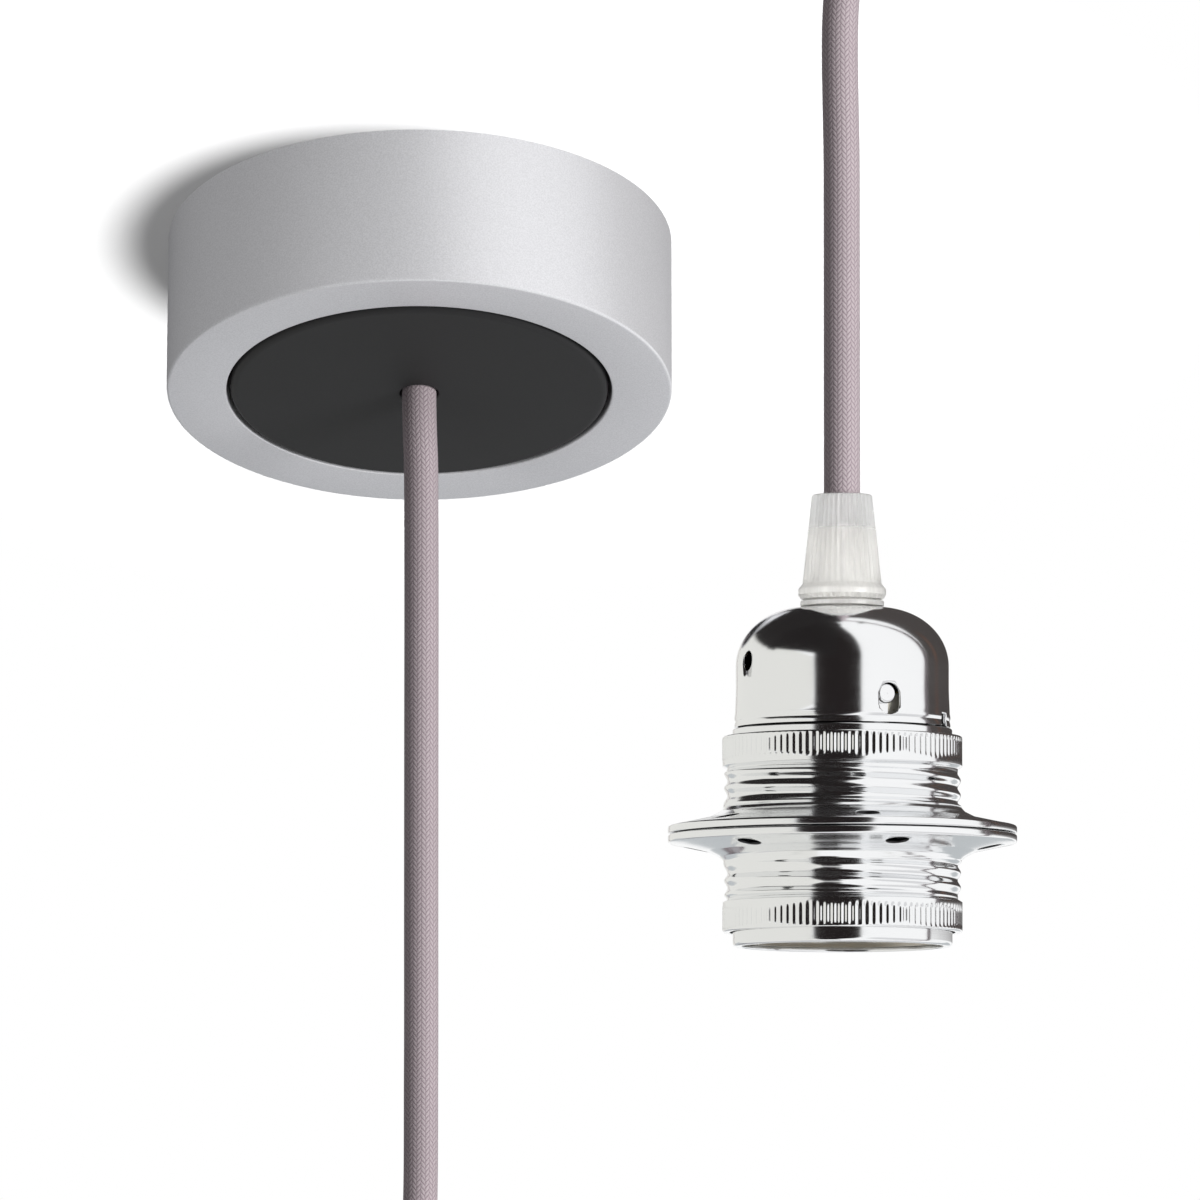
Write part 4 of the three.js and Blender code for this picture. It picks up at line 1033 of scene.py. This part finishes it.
def build_lamp_socket():
    """Ceramic core and the rolled screw shell in it."""
    core = [
        (14.4, -16.8, 0.4), (17.45, -16.8, 0.4), (17.45, 16.4, 0.3), (15.85, 16.4, 0.2), (15.85, 23, 0.4),
        (1.65, 23, 0.1), (1.65, 9.7, 0.1), (14.4, 9.7, 0.5),
    ]
    new_piece(
        "socket_body", turned(rounded(in_mm(core)), 128), glazed_ceramic(), "glazed_ceramic",
        ["ceramic_core"], HOLDER_PLACE,
    )
    pitch, depth, wall = 3.62 * MM, 0.7 * MM, 0.4 * MM
    root, top, bottom = 13.2 * MM, 9.4 * MM, -9.5 * MM
    line = [(5 * MM, top), *curve(root - MM, top - MM, MM, MM, 90, 0, 6)]
    line += [(root, z) for z in np.arange(top - 1.3 * MM, bottom, -0.25 * MM)]

    def warp(angles, radii, heights):
        rolled = window(heights, bottom - 0.5 * MM, top - 1.2 * MM, MM) * (radii > root - 1.5 * wall)
        return radii + depth * rolled * wave(heights / pitch + angles / TURN)

    new_piece(
        "lamp_thread", turned(sheet(line, wall), 96, warp), bright_brass(), "brass", ["screw_shell"],
        HOLDER_PLACE, sharp=50,
    )


def build_grip():
    size = sizes("holder")
    top = size.grip_top
    cap = [
        (5.25, 39.7, 0.15), (6.9, 39.7, 0.3), (7.4, 40.4, 0.5), (7.4, 41.4, 0.6), (6.65, 42.3, 0.3),
        (5.05, top / MM, 0.5), (3.45, top / MM, 0.35), (3.45, 52.8, 0.4), (5.25, 50.3, 0.4),
    ]

    def warp(angles, radii, heights):
        surface = (6.65 - 1.6 * (heights - GRIP_BASE) / (top - GRIP_BASE)) * MM
        ribbed = window(heights, GRIP_BASE + 0.3 * MM, top + 0.2 * MM, 0.7 * MM)
        ribbed = ribbed * (radii > surface - 0.6 * MM)
        toothed = window(heights, 39.5 * MM, 40.5 * MM, 0.4 * MM) * (radii > 6 * MM)
        ratchet = 0.4 * MM * toothed * wave(size.ribs * angles / TURN)
        return radii - 0.22 * MM * ribbed * wave(size.ribs * angles / TURN) ** 0.7 - ratchet

    outline = dense(rounded(in_mm(cap)), lambda point, following: 0.8 * MM)
    new_piece(
        "ribbed_grip", turned(outline, 8 * size.ribs, warp), clear_plastic(), "clear_plastic",
        ["grip_cap"], HOLDER_PLACE, sharp=50,
    )
    body = [
        (3.45, 32.8, 0.1), (4.9, 32.8, 0.3), (4.9, 38.5, 0.05), (7.05, 38.5, 0.2), (7.05, 39.4, 0.2),
        (4.9, 39.4, 0.1), (4.9, 49.2, 0.2), (4.2, 50, 0.1), (3.45, 50, 0.1),
    ]
    claws = new_piece(
        "grip_claws", turned(rounded(in_mm(body)), 96), clear_plastic(), "clear_plastic", ["grip_body"],
        HOLDER_PLACE, sharp=50,
    )
    slot = rectangle(-6, 6, 0.5)
    crossed = [(-y, x) for x, y in slot]
    cut_by(claws, [cutter(outline, 43 * MM, 51 * MM, HOLDER_PLACE) for outline in (slot, crossed)])


# Hook

def build_hook():
    """Round plate on the sloping ceiling and a bent rod under the arch of the cord."""
    crown = Vector((106.5, -170, 58.5)) * MM
    rod = 1.75 * MM
    bend = sizes("cord").diameter / 2 + 0.3 * MM + rod
    shank = crown.y - bend
    ceiling = -shank * math.tan(SLOPE)
    plate = rounded(in_mm([(0.2, -2.2, 0), (7, -2.2, 1.2), (7, 0, 0.1), (0.2, 0, 0)]), 8)
    spin, quads = turned(plate, 96)
    spin = moved(spin, Matrix.Translation((crown.x, shank, ceiling)) @ CANOPY_PLACE)
    stations = [(crown.x, shank, ceiling - MM)]
    stations += [(crown.x, y, z) for y, z in curve(crown.y, crown.z, bend, bend, 180, 360, 16)]
    stations.append((crown.x, crown.y + bend, crown.z + 1.6 * MM))
    line, _ = smooth_line(stations, 0.5 * MM)
    shape = merged((spin, quads), capped_tube(line, rod, 32))
    new_piece("cord_hook", shape, zinc_plate(), "zinc_steel", ["ceiling_hook"])


# Fittings that keep the frame's own shape

FITTINGS = {
    zinc_plate: [
        "ceiling_bracket", "disc_nut", "canopy_screw_1", "canopy_screw_2", "clamp_screw_1", "clamp_screw_2",
        "grip_locknut", "earth_screw", "terminal_screw_live", "terminal_screw_neutral",
    ],
    bright_brass: [
        "terminal_screw_1", "terminal_screw_2", "terminal_screw_3", "earth_tag", "shell_rivet",
        "centre_contact", "terminal_live", "terminal_neutral",
    ],
    white_nylon: ["clamp_base", "clamp_saddle", "terminal_block"],
}
CORES = {"live": (96, 62, 42), "neutral": (52, 98, 160), "earth": (74, 128, 52)}


def finish_fittings():
    for maker, names in FITTINGS.items():
        for name in names:
            paint_node(name, maker())
    for core, display in CORES.items():
        for place in ("canopy", "holder"):
            paint_node(f"{place}_core_{core}", insulation(core, *display))


def paint_node(name, material):
    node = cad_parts[name]
    for slot in node.material_slots:
        slot.material = material


# Studio

def heading(azimuth, elevation):
    """Direction by degrees: azimuth 0 points at the camera's side and 90 to the right."""
    a, e = math.radians(azimuth), math.radians(elevation)
    return Vector((math.sin(a) * math.cos(e), -math.cos(a) * math.cos(e), math.sin(e)))


# Corners by azimuth and elevation, distance in metres, colour, softness of the edges and bow of the far one
CARDS = {
    "left_card": ([(-180, -55), (-32, -55), (-32, 10), (-170, 20)], 1.5, (0.81, 0.805, 0.77), 0.03, 0),
    "gap_flag": ([(-33, -62), (-3, -62), (-3, -20), (-33, -20)], 1.4, (0.022, 0.019, 0.019), 0.08, 0),
    "centre_flag": ([(-33, -40), (22, -40), (22, 82), (-33, 82)], 1.36, (0.017, 0.014, 0.014), 0.08, 0.55),
    "front_left_flag": ([(-98, 22), (-6, 7), (-6, 88), (-98, 88)], 1.3, (0.018, 0.016, 0.016), 0.06, 0),
    "back_left_flag": ([(-180, 16), (-82, 20), (-82, 88), (-180, 88)], 1.3, (0.022, 0.02, 0.02), 0.06, 0),
    "back_right_flag": ([(99, -2), (-176, -2), (-176, 78), (108, 43)], 1.45, (0.07, 0.062, 0.06), 0.1, 0),
    "warm_strip": ([(118, -2), (127, -2), (129, 45), (120, 45)], 1.4, (0.12, 0.075, 0.06), 0.35, 0),
    "back_low": ([(140, -40), (-140, -40), (-140, -6), (140, -6)], 1.25, (0.52, 0.545, 0.56), 0.1, 0),
    "back_floor": ([(125, -75), (-125, -75), (-125, -40), (125, -40)], 1.25, (0.57, 0.56, 0.59), 0.08, 0),
    "right_low": ([(24, -40), (104, -40), (104, -5), (24, -5)], 1.35, (0.72, 0.72, 0.73), 0.2, 0),
    "floor_panel": ([(90, -38), (-90, -38), (-60, -85), (60, -85)], 1.2, (0.62, 0.62, 0.6), 0.1, 0),
}


# Key and fill light the front from both sides; the last lamp lights the ceiling from below.
# Azimuth and elevation in degrees, distance and width in metres
LAMPS = {
    "key": (50, -3, 3.2, 1.6),
    "fill": (-40, -2, 1.8, 0.9),
    "grip": (-60, 4, 1.8, 0.9),
    "ceiling": (35, -65, 1.2, 0.44),
}
LAMP_AIM = Vector((30, -80, -60)) * MM


def card_material(name, colour, softness, bow):
    material = bpy.data.materials.new(name)
    tree = Tree(material)
    along = tree.node("SeparateXYZ", {}, {0: tree.node("UVMap", {"uv_map": "braid"})})
    up = along.other("Y")
    far = 1 - along - (up * 2 - 1) ** 2 * bow
    mask = along.steps(0, softness) * far.steps(0, softness)
    mask = mask * up.steps(0, softness) * (1 - up).steps(0, softness)
    glow = tree.node("Emission", {}, {"Color": (*colour, 1)})
    tree.output(tree.node("MixShader", {}, {0: mask, 1: tree.node("BsdfTransparent"), 2: glow}))
    return material


def build_card(name, corners, distance, colour, softness, bow):
    """Curved card seen only in reflections."""
    lines = 17
    first, second, third, fourth = (heading(*corner) for corner in corners)
    grid = [(u, v) for u in np.linspace(0, 1, lines) for v in np.linspace(0, 1, lines)]
    vertices = []
    for u, v in grid:
        direction = first.lerp(second, u).lerp(fourth.lerp(third, u), v).normalized()
        vertices.append(HOLDER_PLACE.translation + direction * distance)
    faces = grid_faces(lines, lines, False, False)
    texture = [grid[index] for index in faces.ravel()]
    card = new_piece(name, (vertices, faces), card_material(name, colour, softness, bow), uv=texture)
    unseen(card, "camera", "diffuse", "transmission", "shadow")
    return card


def unseen(piece, *rays):
    """Hides a piece from kinds of rays."""
    for ray in rays:
        setattr(piece, "visible_" + ray, False)


def build_world():
    world = bpy.context.scene.world or bpy.data.worlds.new("studio")
    bpy.context.scene.world = world
    tree = Tree(world)
    path = tree.node("LightPath")
    seen = path.other("Is Camera Ray").maths("MAXIMUM", path.other("Is Glossy Ray"))
    seen = seen.maths("MAXIMUM", path.other("Is Transmission Ray"))
    backdrop = tree.node("Background", {}, {"Color": (1, 1, 1, 1), "Strength": 1.0})
    soft = tree.node("Background", {}, {"Color": (1, 1, 1, 1), "Strength": sizes("studio").world})
    tree.output(tree.node("MixShader", {}, {0: seen, 1: soft, 2: backdrop}), "World")


CEILING_REACH = 200 * MM
CEILING_GAP = 0.4 * MM
CEILING_FADE = (120 * MM, 150 * MM)


def build_ceiling():
    """White ceiling that keeps the canopy's soft shadow and is clear from above."""
    material = bpy.data.materials.new("white_ceiling")
    tree = Tree(material)
    cloud = tree.noise(tree.place(), 30, 2)
    plaster = tree.node("BsdfDiffuse", {}, {"Color": tree.blend(cloud, (0.8, 0.8, 0.8), (0.82, 0.82, 0.82))})
    edge = tree.node("VectorMath", {"operation": "LENGTH"}, {0: tree.place()}).other("Value")
    hidden = tree.node("NewGeometry").other("Backfacing").maths("MAXIMUM", edge.steps(*CEILING_FADE))
    tree.output(tree.node("MixShader", {}, {0: hidden, 1: plaster, 2: tree.node("BsdfTransparent")}))
    lines = 9
    grid = np.linspace(-CEILING_REACH, CEILING_REACH, lines)
    vertices = [(x, y, -CEILING_GAP) for x in grid for y in grid]
    faces = grid_faces(lines, lines, False, False)[:, ::-1]
    ceiling = new_piece("ceiling", (vertices, faces), material, place=CANOPY_PLACE)
    unseen(ceiling, "diffuse", "glossy", "transmission", "shadow")
    return ceiling


def add_lamp(name, receivers):
    """Round lamp of the table that lights what a collection takes in."""
    azimuth, elevation, distance, width = LAMPS[name]
    data = bpy.data.lights.new(name + "_lamp", "AREA")
    data.shape = "DISK"
    data.size = width
    data.energy = getattr(sizes("studio"), name)
    lamp = bpy.data.objects.new(name + "_lamp", data)
    bpy.context.scene.collection.objects.link(lamp)
    direction = heading(azimuth, elevation)
    lamp.location = LAMP_AIM + direction * distance
    lamp.rotation_mode = "QUATERNION"
    lamp.rotation_quaternion = direction.to_track_quat("Z", "Y")
    lamp.light_linking.receiver_collection = receivers
    unseen(lamp, "glossy", "camera")
    return lamp


def linked(name, pieces, state="INCLUDE"):
    """Collection that takes pieces into a lamp's light, or keeps them out."""
    collection = bpy.data.collections.new(name)
    for piece in pieces:
        collection.objects.link(piece)
    for entry in collection.collection_objects:
        entry.light_linking.link_state = state
    return collection


def build_camera():
    studio = sizes("studio")
    data = bpy.data.cameras.new("camera")
    data.lens = studio.lens
    data.sensor_width = 36
    data.clip_end = 20
    camera = bpy.data.objects.new("camera", data)
    bpy.context.scene.collection.objects.link(camera)
    rise = studio.camera_rise
    ahead = Vector((0, math.cos(rise), math.sin(rise)))
    up = Vector((0, -math.sin(rise), math.cos(rise)))
    pixel = data.sensor_width / studio.lens / PICTURE_WIDTH * studio.camera_distance
    right, down = ((PICTURE_WIDTH / 2 - place) * pixel for place in ORIGIN_PIXEL)
    camera.location = -ahead * studio.camera_distance + Vector((right, 0, 0)) - up * down
    camera.rotation_mode = "QUATERNION"
    camera.rotation_quaternion = (-ahead).to_track_quat("Z", "Y")
    bpy.context.scene.camera = camera


def build_studio():
    build_world()
    ceiling = build_ceiling()
    names = ("canopy_shell", "black_disc", "braided_cord", "ribbed_grip", "grip_claws")
    cup, disc, cord, grip, claws = (bpy.data.objects[name] for name in names)
    cards = {name: build_card(name, *card) for name, card in CARDS.items()}
    cards["left_card"].light_linking.receiver_collection = linked("not_on_satin", [cup, cord], "EXCLUDE")
    add_lamp("key", linked("not_on_ceiling", [ceiling], "EXCLUDE"))
    add_lamp("fill", linked("on_canopy_and_grip", [cup, grip, claws]))
    add_lamp("grip", linked("on_grip", [grip, claws]))
    under = add_lamp("ceiling", linked("on_ceiling", [ceiling]))
    under.light_linking.blocker_collection = linked("canopy_shadow", [cup, disc])
    bpy.context.scene.view_settings.view_transform = "Standard"


# Operators

class CORDSET_OT_camera(bpy.types.Operator):
    """Long lens below the canopy, at the photograph's angle."""

    bl_idname = "cordset.camera"
    bl_label = "Place the camera"

    def execute(self, context):
        build_camera()
        return {"FINISHED"}


class CORDSET_OT_coil_ties(bpy.types.Operator):
    """Two hook-and-loop straps round the coil of spare cord."""

    bl_idname = "cordset.coil_ties"
    bl_label = "Tie the coil"

    def execute(self, context):
        build_coil_tie(1, 1)
        build_coil_tie(-1, 2)
        return {"FINISHED"}


class CORDSET_OT_cord(bpy.types.Operator):
    """One braided cord from the canopy through its coil and over the hook to the grip."""

    bl_idname = "cordset.cord"
    bl_label = "Lay the cord"

    def execute(self, context):
        build_cord()
        return {"FINISHED"}


class CORDSET_OT_hook(bpy.types.Operator):
    """Ceiling hook that the cord passes over."""

    bl_idname = "cordset.hook"
    bl_label = "Screw in the hook"

    def execute(self, context):
        build_hook()
        return {"FINISHED"}


class CORDSET_OT_canopy_cup(bpy.types.Operator):
    """Satin aluminium cup with its face ring and recess."""

    bl_idname = "cordset.canopy_cup"
    bl_label = "Turn the canopy"

    def execute(self, context):
        build_canopy_cup()
        return {"FINISHED"}


class CORDSET_OT_cover_disc(bpy.types.Operator):
    """Black disc with the cord's hole."""

    bl_idname = "cordset.cover_disc"
    bl_label = "Fit the disc"

    def execute(self, context):
        build_cover_disc()
        return {"FINISHED"}


class CORDSET_OT_shade_rings(bpy.types.Operator):
    """Two knurled and threaded rings with vented flanges."""

    bl_idname = "cordset.shade_rings"
    bl_label = "Roll the shade rings"

    def execute(self, context):
        build_shade_rings()
        return {"FINISHED"}


class CORDSET_OT_dome(bpy.types.Operator):
    """Chromed dome with its vent, window, notch and spring catch."""

    bl_idname = "cordset.dome"
    bl_label = "Press the dome"

    def execute(self, context):
        build_dome()
        build_catch()
        return {"FINISHED"}


class CORDSET_OT_sleeve(bpy.types.Operator):
    """Chromed sleeve that the shade rings run on."""

    bl_idname = "cordset.sleeve"
    bl_label = "Roll the sleeve"

    def execute(self, context):
        build_sleeve()
        return {"FINISHED"}


class CORDSET_OT_lamp_socket(bpy.types.Operator):
    """Ceramic core and rolled screw shell."""

    bl_idname = "cordset.lamp_socket"
    bl_label = "Build the lamp socket"

    def execute(self, context):
        build_lamp_socket()
        return {"FINISHED"}


class CORDSET_OT_grip(bpy.types.Operator):
    """Ribbed clear cap and its slotted claws."""

    bl_idname = "cordset.grip"
    bl_label = "Mould the cord grip"

    def execute(self, context):
        build_grip()
        return {"FINISHED"}


class CORDSET_OT_fittings(bpy.types.Operator):
    """Gives every fitting that keeps the frame's shape its finish."""

    bl_idname = "cordset.fittings"
    bl_label = "Finish the fittings"

    def execute(self, context):
        finish_fittings()
        return {"FINISHED"}


class CORDSET_OT_studio(bpy.types.Operator):
    """World, ceiling, reflection cards and lamps."""

    bl_idname = "cordset.studio"
    bl_label = "Light the studio"

    def execute(self, context):
        build_studio()
        return {"FINISHED"}


OPERATORS = [
    CORDSET_OT_camera,
    CORDSET_OT_coil_ties,
    CORDSET_OT_cord,
    CORDSET_OT_hook,
    CORDSET_OT_canopy_cup,
    CORDSET_OT_cover_disc,
    CORDSET_OT_shade_rings,
    CORDSET_OT_dome,
    CORDSET_OT_sleeve,
    CORDSET_OT_lamp_socket,
    CORDSET_OT_grip,
    CORDSET_OT_fittings,
    CORDSET_OT_studio,
]


class CORDSET_PT_pieces(bpy.types.Panel):
    """Lists the steps that build the cord set."""

    bl_label = "Pendant cord set"
    bl_space_type = "VIEW_3D"
    bl_region_type = "UI"
    bl_category = "Cord set"

    def draw(self, context):
        for made in OPERATORS:
            self.layout.operator(made.bl_idname)


CLASSES = [*SETTINGS.values(), *OPERATORS, CORDSET_PT_pieces]


def register():
    for made in CLASSES:
        bpy.utils.register_class(made)
    for name, group in SETTINGS.items():
        setattr(bpy.types.Scene, "cordset_" + name, bpy.props.PointerProperty(type=group))


def unregister():
    for name in SETTINGS:
        delattr(bpy.types.Scene, "cordset_" + name)
    for made in reversed(CLASSES):
        bpy.utils.unregister_class(made)


def main():
    register()
    for made in OPERATORS:
        getattr(bpy.ops.cordset, made.bl_idname.split(".")[1])()


if __name__ == "__main__":
    main()
